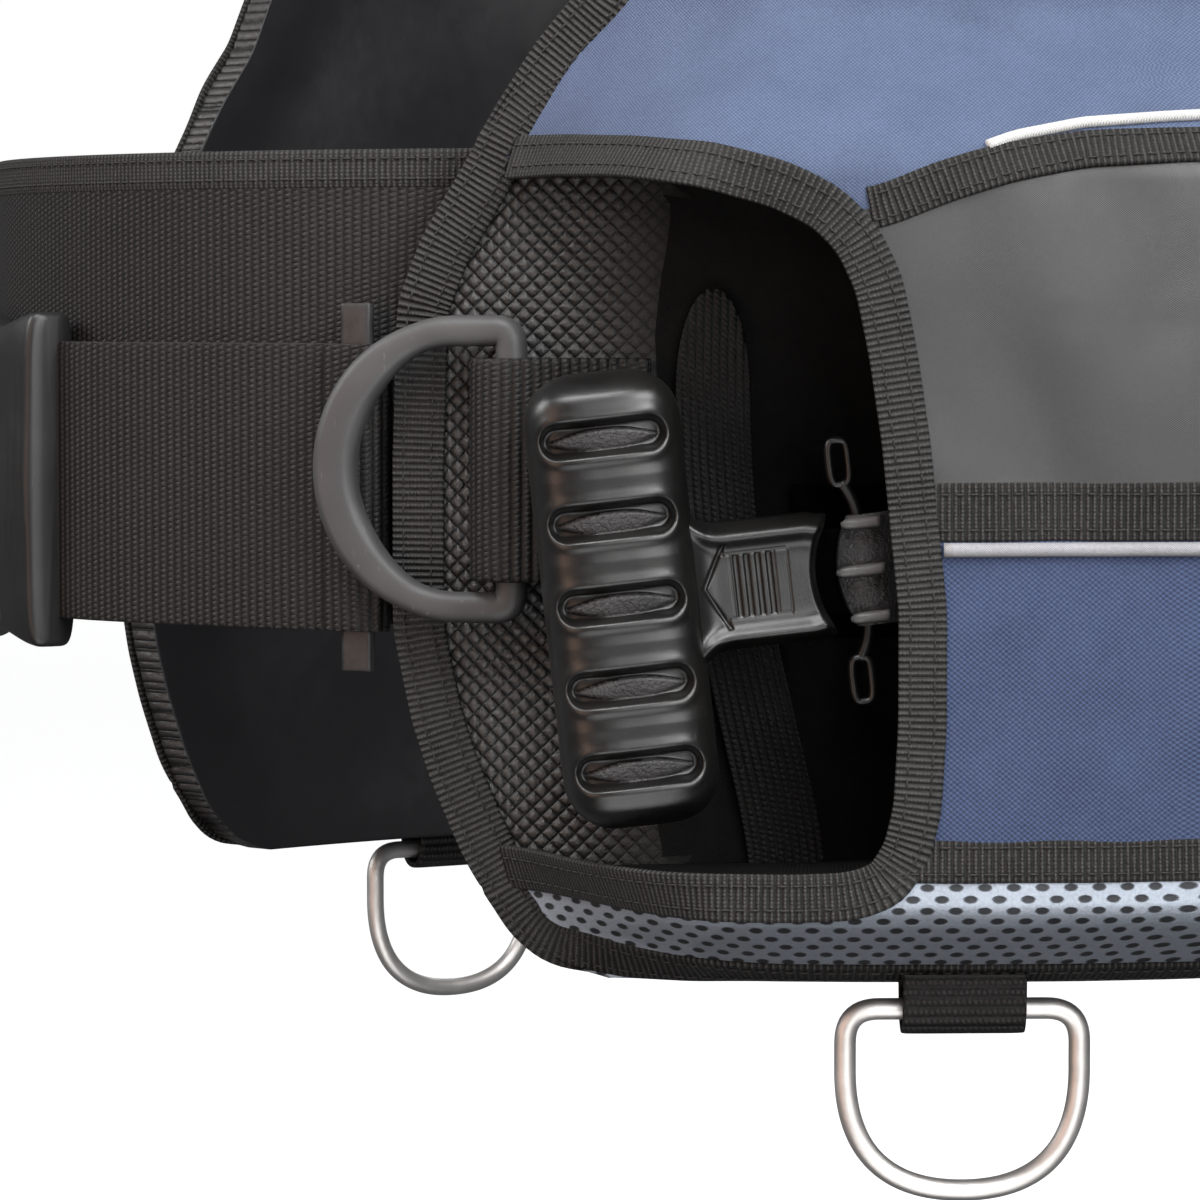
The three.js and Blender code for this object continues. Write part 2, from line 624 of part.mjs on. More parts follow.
function hemRing() {
  const half = (STEEL_WIDTH - STEEL_WIRE) / 2;
  const path = new THREE.CurvePath();
  const corner = 6;
  const drop = STEEL_DROP - STEEL_WIRE / 2;
  const points = [
    vec(-half + corner, 0, 0), vec(-half, 0, 0), vec(-half, corner, 0), vec(-half, 14, 0),
    vec(-half, drop * 0.78, 0), vec(-half * 0.62, drop, 0), vec(0, drop, 0),
    vec(half * 0.62, drop, 0), vec(half, drop * 0.78, 0), vec(half, 14, 0),
    vec(half, corner, 0), vec(half, 0, 0), vec(half - corner, 0, 0),
  ];
  path.add(new THREE.LineCurve3(points[12], points[0]));
  path.add(new THREE.QuadraticBezierCurve3(points[0], points[1], points[2]));
  path.add(new THREE.LineCurve3(points[2], points[3]));
  path.add(new THREE.CubicBezierCurve3(points[3], points[4], points[5], points[6]));
  path.add(new THREE.CubicBezierCurve3(points[6], points[7], points[8], points[9]));
  path.add(new THREE.LineCurve3(points[9], points[10]));
  path.add(new THREE.QuadraticBezierCurve3(points[10], points[11], points[12]));
  // A torus whose rings are moved onto the path, so that the wire closes on itself.
  const torus = new THREE.TorusGeometry(10, 1, 6, 28);
  const position = torus.getAttribute("position");
  const uv = torus.getAttribute("uv");
  for (let i = 0; i < position.count; i++) {
    const t = uv.getX(i) % 1;
    const a = 2 * Math.PI * uv.getY(i);
    const centre = path.getPointAt(t);
    const tangent = path.getTangentAt(t);
    const side = vec(tangent.y, -tangent.x, 0);
    const p = centre.addScaledVector(side, (Math.cos(a) * STEEL_WIRE) / 2);
    position.setXYZ(i, p.x, p.y, (Math.sin(a) * STEEL_WIRE) / 2);
  }
  return torus.applyMatrix4(steelFrame());
}

function hemTab() {
  const clear = STEEL_WIRE / 2 + RUNNING_GAP;
  const half = STEEL_WIDTH / 2 - STEEL_WIRE - 7;
  const thick = clear + 2;
  const low = STEEL_BAR_Z - thick;
  const out = STEEL_OUT;
  const tab = slab(STEEL_S - half, STEEL_S + half, low, HEM_Z - GAP, out - thick, out + thick);
  const hole = block(-60, 60, -clear, clear, -clear, clear).applyMatrix4(steelFrame());
  return cut(tab, hole);
}

// ---------- The shoulder harness ----------

// Where a left shoulder strap runs, from the yoke over the shoulder to the chest, with the way it faces.
const SHOULDER_ROUTE = [
  { at: [60, -31, YOKE_Z + GAP], out: [0, 1, 0] },
  { at: [60, -31, YOKE_Z + 12], out: [0, 1, 0.05] },
  { at: [69, -42, 270], out: [0.1, 0.85, 0.5] },
  { at: [84, -72, 298], out: [0.15, 0.45, 0.9] },
  { at: [95, -118, 312], out: [0.2, 0, 1] },
  { at: [104, -168, 296], out: [0.3, -0.55, 0.8] },
  { at: [115, -208, 250], out: [0.45, -0.8, 0.4] },
  { at: [130, -230, 196], out: [0.6, -0.8, 0.15] },
];
const STRAP_S = 312; // where the lower strap is sewn to its lobe
const STRAP_ROUTE = [
  { at: [130, -230, 196], out: [0.6, -0.8, 0.15] },
  { at: [133.3, -234.8, 184.1], out: [0.62, -0.77, 0.15] },
  { at: [146, -236, 140], out: [0.72, -0.68, 0.1] },
  { at: [158, -224, 98], out: [0.85, -0.5, 0] },
  { at: over(STRAP_S, LOBE_TOP_Z + 14, 6).toArray(), out: outwardAt(plan(STRAP_S).heading).toArray() },
  { at: over(STRAP_S, LOBE_TOP_Z + GAP, 6).toArray(), out: outwardAt(plan(STRAP_S).heading).toArray() },
];

const PAD_TOP = SHOULDER_THICK / 2;
const vectors = (route, key) => route.map((stop) => vec(...stop[key]));

// The middle line of a route, and the frame that a strap has at t along it.
function routeFrame(route) {
  const line = new THREE.CatmullRomCurve3(vectors(route, "at"), false, "centripetal");
  const facing = new THREE.CatmullRomCurve3(vectors(route, "out"), false, "centripetal");
  return (t) => {
    const ahead = line.getTangent(t);
    const out = facing.getPoint(t);
    out.addScaledVector(ahead, -out.dot(ahead)).normalize();
    return { point: line.getPoint(t), ahead, out, side: ahead.clone().cross(out) };
  };
}

// A strap along part of a route. level is the height of its middle over the route.
function ribbon(route, t0, t1, steps, width, thick, level = 0) {
  const frame = routeFrame(route);
  return mapped(steps, 1, 1, (u, v, w) => {
    const { point, out, side } = frame(lerp(t0, t1, u));
    return point.addScaledVector(side, (v - 0.5) * width).addScaledVector(out, (w - 0.5) * thick + level);
  });
}

// The chest strap lies on the shoulder pad, then spans to the middle.
const CHEST_T = 0.945;
const CHEST_MIDDLE_Y = -272;
function chestRoute() {
  const { point, side, out } = routeFrame(SHOULDER_ROUTE)(CHEST_T);
  const onPad = (d) => point.clone().addScaledVector(side, d).addScaledVector(out, PAD_TOP + WEB_THICK / 2 + 1.5);
  const z = point.z;
  return [
    { at: onPad(9).toArray(), out: out.toArray() },
    { at: onPad(PAD_WIDTH / 2 + 2).toArray(), out: out.toArray() },
    { at: [55, CHEST_MIDDLE_Y + 4, z], out: [0.1, -1, 0] },
    { at: [0, CHEST_MIDDLE_Y, z], out: [0, -1, 0] },
  ];
}
const CHEST_ROUTE = chestRoute();

const BUCKLE_FROM = 0.006;
const BUCKLE_TO = 0.37;
const LOWER_LEVEL = -1;

// The quick-release buckle between a shoulder pad and the webbing that comes up from its lobe.
function shoulderBuckle() {
  const body = ribbon(STRAP_ROUTE, BUCKLE_FROM, BUCKLE_TO, 3, 48, 10);
  return cut(body, lowerStrap(0.5));
}

const lowerStrap = (grow = 0) =>
  ribbon(STRAP_ROUTE, 0.24 - grow / 50, 1, 10, LOWER_WEB_WIDTH + 2 * grow, WEB_THICK + 2 * grow, LOWER_LEVEL);
const chestStrap = (grow = 0) =>
  ribbon(CHEST_ROUTE, 0, 0.86 + grow / 60, 9, CHEST_WEB_WIDTH + 2 * grow, WEB_THICK + 2 * grow);

// ---------- The backplate and the cylinder's band ----------

const PLATE_FRONT = SPINE_Y + BACK_THICK + GAP;
const PLATE_BACK = PLATE_FRONT + PLATE_THICK;

// A shape drawn in x and z, pushed along y.
function upright(shape, y0, y1, bevel = 0) {
  return plate(shape, 0, y1 - y0, bevel, 4).rotateX(Math.PI / 2).translate(0, y1, 0);
}

function backplate() {
  const bottom = HEM_Z + 60;
  const outline = roundedOutline(2 * PLATE_HALF, PLATE_TOP_Z - bottom, PLATE_CORNER);
  const sheet = upright(outline, PLATE_FRONT, PLATE_BACK, 2).translate(0, 0, (PLATE_TOP_Z + bottom) / 2);
  const boss = upright(roundedOutline(2 * PAD_HALF + 8, PAD_HEIGHT + 8, 8), PLATE_BACK - 1, -PAD_THICK - GAP);
  const slot = BAND_WIDTH / 2 + 1;
  const slots = [-1, 1].map((side) =>
    block(side * SLOT_X - 1.9, side * SLOT_X + 1.9, PLATE_FRONT - 1, PLATE_BACK + 1, BAND_Z - slot, BAND_Z + slot),
  );
  const lightening = upright(roundedOutline(60, 50, 14), PLATE_FRONT - 1, PLATE_BACK + 1);
  const low = lightening.clone().translate(0, 0, -130);
  return cut(join(sheet, boss), ...slots, low);
}

const tankPad = () => upright(roundedOutline(2 * PAD_HALF, PAD_HEIGHT, 6), -PAD_THICK, 0);

// The band leaves one slot, goes round the cylinder and comes back to the other slot.
const BAND_LEAVE = 50; // degrees from the front, where it meets the cylinder
function bandPoint(u) {
  const x = SLOT_X - BAND_THICK / 2;
  const ends = [vec(x, PLATE_BACK - 7, 0), vec(x, PLATE_BACK + 3, 0), vec(x + 8, 6, 0)];
  const round = [];
  for (let a = BAND_LEAVE; a <= 180; a += 13) {
    round.push(vec(TANK_RADIUS * Math.sin(rad(a)), TANK_RADIUS * (1 - Math.cos(rad(a))), 0));
  }
  const half = [...ends, ...round];
  const mirrored = half.slice(0, -1).reverse().map((p) => vec(-p.x, p.y, 0));
  return [...half, ...mirrored][u];
}
const BAND_STOPS = 2 * (3 + 11) - 1;

function tankBand() {
  return mapped(BAND_STOPS - 1, 1, 1, (u, v, w) => {
    const i = Math.round(u * (BAND_STOPS - 1));
    const before = bandPoint(Math.max(0, i - 1));
    const after = bandPoint(Math.min(BAND_STOPS - 1, i + 1));
    const ahead = after.sub(before).normalize();
    const out = vec(-ahead.y, ahead.x, 0).negate();
    return bandPoint(i).addScaledVector(out, w * BAND_THICK).add(vec(0, 0, BAND_Z + (v - 0.5) * BAND_WIDTH));
  });
}

const BAND_BACK_Y = 2 * TANK_RADIUS + BAND_THICK;
const LEVER_PIN_X = -26;
const LEVER_PIN_Y = BAND_BACK_Y + 9;

function camFrame() {
  const sides = BAND_WIDTH / 2 + 6;
  const base = block(-34, 34, BAND_BACK_Y + GAP, BAND_BACK_Y + 3.4, BAND_Z - sides, BAND_Z + sides);
  const ears = [-1, 1].map((side) => {
    const z = BAND_Z + side * (sides - 2);
    return block(-34, 0, BAND_BACK_Y + 3, BAND_BACK_Y + 14, z - 2, z + 2);
  });
  const hole = rod(vec(LEVER_PIN_X, LEVER_PIN_Y, BAND_Z - 60), vec(LEVER_PIN_X, LEVER_PIN_Y, BAND_Z + 60), 2.5 + GAP);
  return cut(join(base, ...ears), hole);
}

function camLever() {
  const half = BAND_WIDTH / 2 + 1.2;
  const paddle = block(LEVER_PIN_X, 36, LEVER_PIN_Y - 2.4, LEVER_PIN_Y + 2.6, BAND_Z - half, BAND_Z + half);
  const barrel = rod(vec(LEVER_PIN_X, LEVER_PIN_Y, BAND_Z - half), vec(LEVER_PIN_X, LEVER_PIN_Y, BAND_Z + half), 5.2);
  const hole = rod(vec(LEVER_PIN_X, LEVER_PIN_Y, BAND_Z - 60), vec(LEVER_PIN_X, LEVER_PIN_Y, BAND_Z + 60), 2.5 + GAP);
  return cut(join(paddle, barrel), hole);
}

function camPin() {
  const half = BAND_WIDTH / 2 + 7;
  return rod(vec(LEVER_PIN_X, LEVER_PIN_Y, BAND_Z - half), vec(LEVER_PIN_X, LEVER_PIN_Y, BAND_Z + half), 2.5);
}

// A webbing arch on the plate's top edge.
function carryHandle() {
  const rise = 36;
  const reach = 38;
  return mapped(12, 1, 1, (u, v, w) => {
    const a = Math.PI * (1 - u);
    const radius = w * 5;
    const x = (reach + radius) * Math.sign(Math.cos(a)) * Math.abs(Math.cos(a)) ** 0.6;
    const z = PLATE_TOP_Z + GAP + (rise + radius) * Math.sin(a) ** 0.6;
    return vec(x, lerp(-21, 3, v), z);
  });
}

// A pad on the inside of the rear cell, crowned towards the wearer.
function innerPad(half, z0, z1, thick) {
  return mapped(6, 4, 1, (u, v, w) => {
    const crown = Math.sin(Math.PI * lerp(0.12, 0.88, u)) * Math.sin(Math.PI * lerp(0.12, 0.88, v));
    return over(lerp(-half, half, u), lerp(z0, z1, v), -GAP - w * thick * (0.35 + 0.65 * crown));
  });
}

// ---------- The inflator and the dump valves ----------

function inflatorElbow() {
  const x = WING_CREST;
  const turnY = VALVE_BACK + 20;
  const flange = rod(vec(x, VALVE_BACK, VALVE_Z), vec(x, VALVE_BACK + 4, VALVE_Z), 22, 20);
  const inlet = rod(vec(x, VALVE_BACK + 3, VALVE_Z), vec(x, turnY, VALVE_Z), 15, 16);
  const knee = new THREE.SphereGeometry(15, 16, 10).translate(x, turnY, VALVE_Z);
  const riser = rod(vec(x, turnY, VALVE_Z), vec(x, turnY, VALVE_Z + 36), 15, 16);
  return join(flange, inlet, knee, riser);
}

const BODY_TOP = vec(164, -263, 154);

// The hose rises from the elbow, lies on the shoulder pad and hangs down the chest.
function hoseCurve() {
  const lift = PAD_TOP + HOSE_RADIUS + KEEPER_WALL + 2.6;
  const frame = routeFrame(SHOULDER_ROUTE);
  const onPad = [0.5, 0.62, 0.74, 0.86, HOSE_KEEPER_T].map((t) => {
    const { point, side, out } = frame(t);
    return point.addScaledVector(side, -HOSE_OFFSET).addScaledVector(out, lift);
  });
  const start = vec(WING_CREST, VALVE_BACK + 20, VALVE_Z + 36 + GAP);
  const rise = [start, start.clone().add(vec(0, 0, 18)), vec(WING_CREST, 8, 262)];
  const end = BODY_TOP.clone().add(vec(0, 0, GAP));
  const fall = [end.clone().add(vec(-1, 1, 26)), end.clone().add(vec(0, 0, 10)), end];
  return new THREE.CatmullRomCurve3([...rise, ...onPad, ...fall], false, "centripetal");
}

const inflatorHose = () => tube(hoseCurve(), HOSE_RADIUS, 5, 26);

// A band that keeps the hose on the shoulder pad.
function hoseKeeper() {
  const curve = hoseCurve();
  const at = routeFrame(SHOULDER_ROUTE)(HOSE_KEEPER_T).point;
  let best = 0;
  for (let t = 0; t <= 1; t += 0.005) {
    if (curve.getPointAt(t).distanceTo(at) < curve.getPointAt(best).distanceTo(at)) best = t;
  }
  const centre = curve.getPointAt(best);
  const axis = curve.getTangentAt(best).multiplyScalar(11);
  const outer = rod(centre.clone().sub(axis), centre.clone().add(axis), HOSE_RADIUS + 1 + KEEPER_WALL, 16);
  axis.multiplyScalar(1.3);
  const inner = rod(centre.clone().sub(axis), centre.clone().add(axis), HOSE_RADIUS + 1.4, 16);
  return cut(outer, inner);
}

function inflatorBody() {
  const { x, y, z } = BODY_TOP;
  const barrel = rod(vec(x, y, z), vec(x, y, z - BODY_LENGTH), BODY_RADIUS, 20);
  const head = block(x - 12, x + 12, y - 24, y - 4, z - 66, z - 38);
  const spout = rod(vec(x, y, z - 70), vec(x, y - 34, z - 78), 9, 14);
  const well = rod(vec(x, y - 40, z - 52), vec(x, y - 17, z - 52), 8.5, 16);
  const side = rod(vec(x + 4, y, z - 24), vec(x + 24, y, z - 24), 7.5, 14);
  const floor = rod(vec(x, y, z - BODY_LENGTH + 11), vec(x, y, z - BODY_LENGTH - 5), 8.5, 16);
  return cut(join(barrel, head, spout, side), well, floor);
}

const inflateButton = () =>
  rod(vec(BODY_TOP.x, BODY_TOP.y - 28, BODY_TOP.z - 52), vec(BODY_TOP.x, BODY_TOP.y - 20, BODY_TOP.z - 52), 8, 16);
const deflateButton = () =>
  rod(
    vec(BODY_TOP.x, BODY_TOP.y, BODY_TOP.z - BODY_LENGTH - 4),
    vec(BODY_TOP.x, BODY_TOP.y, BODY_TOP.z - BODY_LENGTH + 5),
    8, 16,
  );

function mouthpiece() {
  const end = vec(BODY_TOP.x, BODY_TOP.y - 34, BODY_TOP.z - 78);
  const way = vec(0, -34, -8).normalize();
  const from = end.clone().addScaledVector(way, GAP);
  const neck = rod(from, end.clone().addScaledVector(way, 10), 8, 14);
  const lips = rod(end.clone().addScaledVector(way, 8), end.clone().addScaledVector(way, 15), 13, 14);
  const bore = rod(end.clone().addScaledVector(way, -3), end.clone().addScaledVector(way, 20), 5, 12);
  return cut(join(neck, lips), bore);
}

// The nipple for the low-pressure hose: a stepped plug with a groove for the coupling's balls.
function supplyNipple() {
  const profile = [
    [0, 0], [5.5, 0], [5.5, 5], [3.6, 6], [3.6, 9], [4.9, 10], [4.9, 16], [2, 16], [2, 8], [0, 8],
  ].map(([r, h]) => new THREE.Vector2(r, h));
  const nipple = new THREE.LatheGeometry(profile, 14);
  nipple.rotateZ(-Math.PI / 2);
  return nipple.translate(BODY_TOP.x + 24 + GAP, BODY_TOP.y, BODY_TOP.z - 24);
}

// A round valve on a wing's crest: flange, ribbed skirt and a low domed cap.
function dumpValve(z) {
  const profile = [[0, 0], [24, 0], [24, 4], [20, 5], [20, 14], [17, 18], [8, 20], [0, 20]].map(
    ([r, h]) => new THREE.Vector2(r, h),
  );
  return new THREE.LatheGeometry(profile, 20).translate(-WING_CREST, VALVE_BACK, z);
}

// ---------- Assembly ----------

add("rear_cell", rearCell(), LINING_FABRIC);
add("lumbar_pad", innerPad(72, HEM_Z + 35, -72, 12), LINING_FABRIC);
add("upper_back_pad", innerPad(70, -40, 172, 10), LINING_FABRIC);
addPair("lobe", lobe(), BLUE_SHELL);

addPair("weight_pouch", pouch(), LINING_FABRIC);
addPair("weight_handle", weightHandle(), HARD_PLASTIC);
addPair("latch_plate", latchPlate(), HARD_PLASTIC);
addPair("latch_base", latchBase(), HARD_PLASTIC);
addPair("pocket_strap", pocketStrap(), WEBBING);

// The wearer's right cummerbund passes inside the left one where they close on each other.
add("left_cummerbund", cummerbund(() => -0.7), WEBBING);
add("right_cummerbund", cummerbund((s) => -0.7 - 3.2 * ramp(s, FRONT_EDGE + 20, FRONT_EDGE + 75)), WEBBING)
  .scale.x = -1;
addPair("waist_strap", waistStrap(), WEBBING);
addPair("belt_stay", beltStay(), CLEAR_PLASTIC);

add("waist_buckle_socket", waistBuckle(), HARD_PLASTIC);
add("waist_buckle_tongue", waistBuckle(), HARD_PLASTIC).scale.x = -1;

addPair("ring_tab", ringTab(), WEBBING);
addPair("belt_ring", beltRing(), HARD_PLASTIC);
addPair("hem_tab", hemTab(), WEBBING);
addPair("hem_ring", hemRing(), STEEL);

addPair("shoulder_pad", ribbon(SHOULDER_ROUTE, 0, 1, 18, PAD_WIDTH, SHOULDER_THICK), LINING_FABRIC);
addPair("shoulder_buckle", shoulderBuckle(), HARD_PLASTIC);
addPair("lower_strap", lowerStrap(), WEBBING);
addPair("chest_strap", chestStrap(), WEBBING);

const chestZ = CHEST_ROUTE[3].at[2];
const chestY = CHEST_MIDDLE_Y;
const chestSlot = (side) => {
  const slot = chestStrap(GAP);
  return side < 0 ? slot.scale(-1, 1, 1) : slot;
};
add("chest_buckle_socket", buckleHalf(0.3, 30, 36, chestY + 5.5, chestY - 5.5, chestZ, chestSlot(1)), HARD_PLASTIC);
add("chest_buckle_tongue", buckleHalf(-30, 0, 36, chestY + 5.5, chestY - 5.5, chestZ, chestSlot(-1)), HARD_PLASTIC);

add("backplate", backplate(), HARD_PLASTIC);
add("tank_pad", tankPad(), RUBBER);
add("tank_band", tankBand(), WEBBING);
add("cam_frame", camFrame(), HARD_PLASTIC);
add("cam_lever", camLever(), HARD_PLASTIC);
add("cam_pin", camPin(), STEEL);
add("carry_handle", carryHandle(), WEBBING);

add("inflator_elbow", inflatorElbow(), HARD_PLASTIC);
add("inflator_hose", inflatorHose(), RUBBER);
add("hose_keeper", hoseKeeper(), WEBBING);
add("inflator_body", inflatorBody(), HARD_PLASTIC);
add("inflate_button", inflateButton(), HARD_PLASTIC);
add("deflate_button", deflateButton(), HARD_PLASTIC);
add("mouthpiece", mouthpiece(), RUBBER);
add("supply_nipple", supplyNipple(), STEEL);
add("shoulder_dump_valve", dumpValve(VALVE_Z), HARD_PLASTIC);
add("rear_dump_valve", dumpValve(REAR_DUMP_Z), HARD_PLASTIC);

export default vest;
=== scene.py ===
"""The looks of a jacket-style buoyancy compensator vest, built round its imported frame.

Shapes are worked out in millimetres and turned into metres when a mesh is made. The wearer faces -Y,
the wearer's left is +X and +Z is up. Most pieces lie over the lining, so they are placed by
s, the distance round from the spine, z, the height, and n, the level outwards from the lining.
"""

import bmesh
import bpy
import numpy as np
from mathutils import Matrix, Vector


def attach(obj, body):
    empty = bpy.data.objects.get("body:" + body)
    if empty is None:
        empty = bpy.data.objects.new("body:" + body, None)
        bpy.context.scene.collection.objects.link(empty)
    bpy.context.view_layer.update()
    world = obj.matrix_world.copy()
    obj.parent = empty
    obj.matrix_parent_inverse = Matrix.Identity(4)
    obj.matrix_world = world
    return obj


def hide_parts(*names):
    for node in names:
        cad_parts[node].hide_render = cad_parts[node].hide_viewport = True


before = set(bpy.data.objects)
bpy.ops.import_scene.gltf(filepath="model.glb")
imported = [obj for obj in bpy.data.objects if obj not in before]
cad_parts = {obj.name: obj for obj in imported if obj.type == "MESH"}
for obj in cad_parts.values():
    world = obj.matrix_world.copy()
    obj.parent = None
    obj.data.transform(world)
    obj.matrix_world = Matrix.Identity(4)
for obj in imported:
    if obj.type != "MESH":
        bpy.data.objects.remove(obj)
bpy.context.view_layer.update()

MM = 0.001
TAU = 2 * np.pi

# ---------- The camera ----------

CAMERA_TARGET = (0.1639, -0.2515, -0.1710)
CAMERA_AZIMUTH, CAMERA_ELEVATION, CAMERA_DISTANCE, CAMERA_LENS = 72, 3, 1.2, 172


def place_camera():
    """Looks at the waist of the left front lobe from outside and a little ahead of it."""
    azimuth, rise = np.radians([CAMERA_AZIMUTH, CAMERA_ELEVATION])
    back = Vector((np.sin(azimuth) * np.cos(rise), -np.cos(azimuth) * np.cos(rise), np.sin(rise)))
    data = bpy.data.cameras.new("camera")
    data.lens, data.sensor_width = CAMERA_LENS, 36
    data.clip_start, data.clip_end = 0.01, 60
    camera = bpy.data.objects.new("camera", data)
    bpy.context.scene.collection.objects.link(camera)
    camera.location = Vector(CAMERA_TARGET) + back * CAMERA_DISTANCE
    camera.rotation_euler = back.to_track_quat("Z", "Y").to_euler()
    bpy.context.scene.camera = camera


# ---------- The plan of the lining ----------

SPINE_Y, BACK_HALF, RIB_RADIUS, RIB_TURN = -38, 90, 90, np.radians(100)
FRONT_RADIUS, FRONT_LENGTH = 330, 150
HEM_Z, ARMPIT_Z, LOBE_TOP_Z, YOKE_Z = -252, -60, 60, 232
REAR_CELL_HALF, YOKE_HALF = 118, 92
SEAM_GAP, LOBE_TOP_BACK = 0.8, 285
LOBE_BASE, LOBE_PUFF, POCKET_BULGE = 9, 21, 32
RIB_END = BACK_HALF + RIB_RADIUS * RIB_TURN
FRONT_EDGE = RIB_END + FRONT_LENGTH
EDGE_HEADING = RIB_TURN + FRONT_LENGTH / FRONT_RADIUS


def arc(start, heading, radius, distance):
    """Points and headings at distances along an arc that leaves start with a heading."""
    turned = heading + distance / radius
    x = start[0] + radius * (np.sin(turned) - np.sin(heading))
    y = start[1] + radius * (np.cos(turned) - np.cos(heading))
    return x, y, turned


RIB_FOOT = arc((BACK_HALF, SPINE_Y), 0, RIB_RADIUS, RIB_END - BACK_HALF)[:2]
FRONT_FOOT = arc(RIB_FOOT, RIB_TURN, FRONT_RADIUS, FRONT_LENGTH)[:2]
BELLY_RADIUS = FRONT_FOOT[0] / np.sin(EDGE_HEADING)
CENTRE_FRONT = FRONT_EDGE + BELLY_RADIUS * (np.pi - EDGE_HEADING)


def plan(s):
    """x, y and heading of the lining at distances s >= 0: a straight back, a tight arc round the ribs, a slow
    arc forwards and the belly's arc, each starting where the last one ends with the same heading."""
    s = np.asarray(s, float)
    straight = (s, np.full_like(s, SPINE_Y), np.zeros_like(s))
    ribs = arc((BACK_HALF, SPINE_Y), 0, RIB_RADIUS, s - BACK_HALF)
    front = arc(RIB_FOOT, RIB_TURN, FRONT_RADIUS, s - RIB_END)
    belly = arc(FRONT_FOOT, EDGE_HEADING, BELLY_RADIUS, s - FRONT_EDGE)
    where = [s <= BACK_HALF, s <= RIB_END, s <= FRONT_EDGE]
    return [np.select(where, [a, b, c], d) for a, b, c, d in zip(straight, ribs, front, belly)]


def over(s, z, n):
    """Points over the lining at distance s, height z and level n. A negative s is on the wearer's right."""
    s, z, n = np.broadcast_arrays(*(np.asarray(v, float) for v in (s, z, n)))
    x, y, heading = plan(np.abs(s))
    x, y = x + n * np.sin(heading), y + n * np.cos(heading)
    return np.stack([np.where(s < 0, -x, x), y, z], -1)


def outward(s):
    """The direction square to the lining, away from the wearer: the sine and cosine of its heading."""
    heading = plan(np.abs(s))[2]
    return np.stack([np.sign(s + 1e-9) * np.sin(heading), np.cos(heading), 0 * heading], -1)


def ramp(x, a, b):
    """A smooth rise from 0 at a to 1 at b."""
    t = np.clip((np.asarray(x, float) - a) / (b - a), 0, 1)
    return t * t * (3 - 2 * t)


def lerp(a, b, t):
    """The level a share t of the way from a to b."""
    return a + (b - a) * t


def unit(v):
    """Vectors divided by their own lengths."""
    return v / np.maximum(np.linalg.norm(v, axis=-1, keepdims=True), 1e-12)


def smoothed(values, width):
    """A list of points run through a moving mean twice, with its ends held."""
    values = np.asarray(values, float)
    for _ in range(2):
        padded = np.concatenate([np.repeat(values[:1], width, 0), values, np.repeat(values[-1:], width, 0)])
        total = np.cumsum(np.concatenate([0 * padded[:1], padded]), 0)
        span = 2 * width + 1
        values = (total[span:] - total[:-span]) / span
    return values


def resampled(points, count=None, step=None):
    """Points spaced evenly along a polyline."""
    points = np.asarray(points, float)
    run = np.concatenate([[0], np.cumsum(np.linalg.norm(np.diff(points, axis=0), axis=1))])
    count = count or int(run[-1] / step) + 1
    at = np.linspace(0, run[-1], count)
    return np.stack([np.interp(at, run, points[:, k]) for k in range(points.shape[1])], -1)


def around(count):
    """Angles spaced evenly once round, the last one short of the first."""
    return np.arange(count) / count * TAU


def blunt(wave, power):
    """A sine or cosine with its size raised to a power and its sign kept: below 1 it squares a circle."""
    return np.sign(wave) * np.abs(wave) ** power


def dome(reach, power=2):
    """The height of a rounded end: a superellipse's quarter, 1 where reach is 0 or less and 0 at 1 or more."""
    return np.sqrt(np.clip(1 - np.clip(reach, 0, 1) ** power, 0, 1))


# ---------- A front lobe's outline and thickness ----------

# Height, and how far the front edge stands back there from its foremost line.
SETBACK = np.array([
    [-252, 46], [-249, 35], [-239, 23], [-224, 14.5], [-209, 8], [-197, 4], [-178, 0], [-143, 0], [-110, 1],
    [-97, 6], [-83, 14.5], [-70, 21], [-57, 30], [-45, 40], [-20, 52], [10, 59], [60, 62],
])


def lobe_front(z):
    """s of the lobe's front edge at a height, read between the setbacks."""
    return FRONT_EDGE - np.interp(z, *SETBACK.T)


def lobe_back(z):
    """s of the lobe's rear edge: straight up to the armpit, then forwards along a quarter ellipse."""
    rise = np.clip((z - ARMPIT_Z) / (LOBE_TOP_Z - ARMPIT_Z), 0, 1)
    return lerp(REAR_CELL_HALF + SEAM_GAP, LOBE_TOP_BACK, np.sqrt(1 - (1 - rise) ** 2))


def lobe_outer(s, z):
    """The lobe's level: thin at its edges, full in the middle, with the pocket's bulge."""
    bulge = POCKET_BULGE * ramp(s, 140, 195) * (1 - ramp(z, -84, -45))
    in_from_front = ramp(lobe_front(z) - s, 0, 58)
    in_from_back = lerp(ramp(s - lobe_back(z), -25, 30), 1, np.where(z < ARMPIT_Z, 0.55, 0))
    fullness = in_from_front * ramp(z - HEM_Z, -4, 22) * in_from_back * ramp(LOBE_TOP_Z - z, -25, 40)
    return LOBE_BASE + (LOBE_PUFF + bulge) * fullness


# The seams over, across and under the pocket, from the top.
TAPE_HEIGHTS = (-83.5, -151, -221.5)


def above_pocket(s):
    """How far the seam over the pocket stands above its height at the mouth: it climbs towards the back."""
    return np.interp(s, [120, 200, 262, 276, 286, 298, 340], [10, 8.5, 5.5, 2.6, -0.8, -6.5, -6.5])


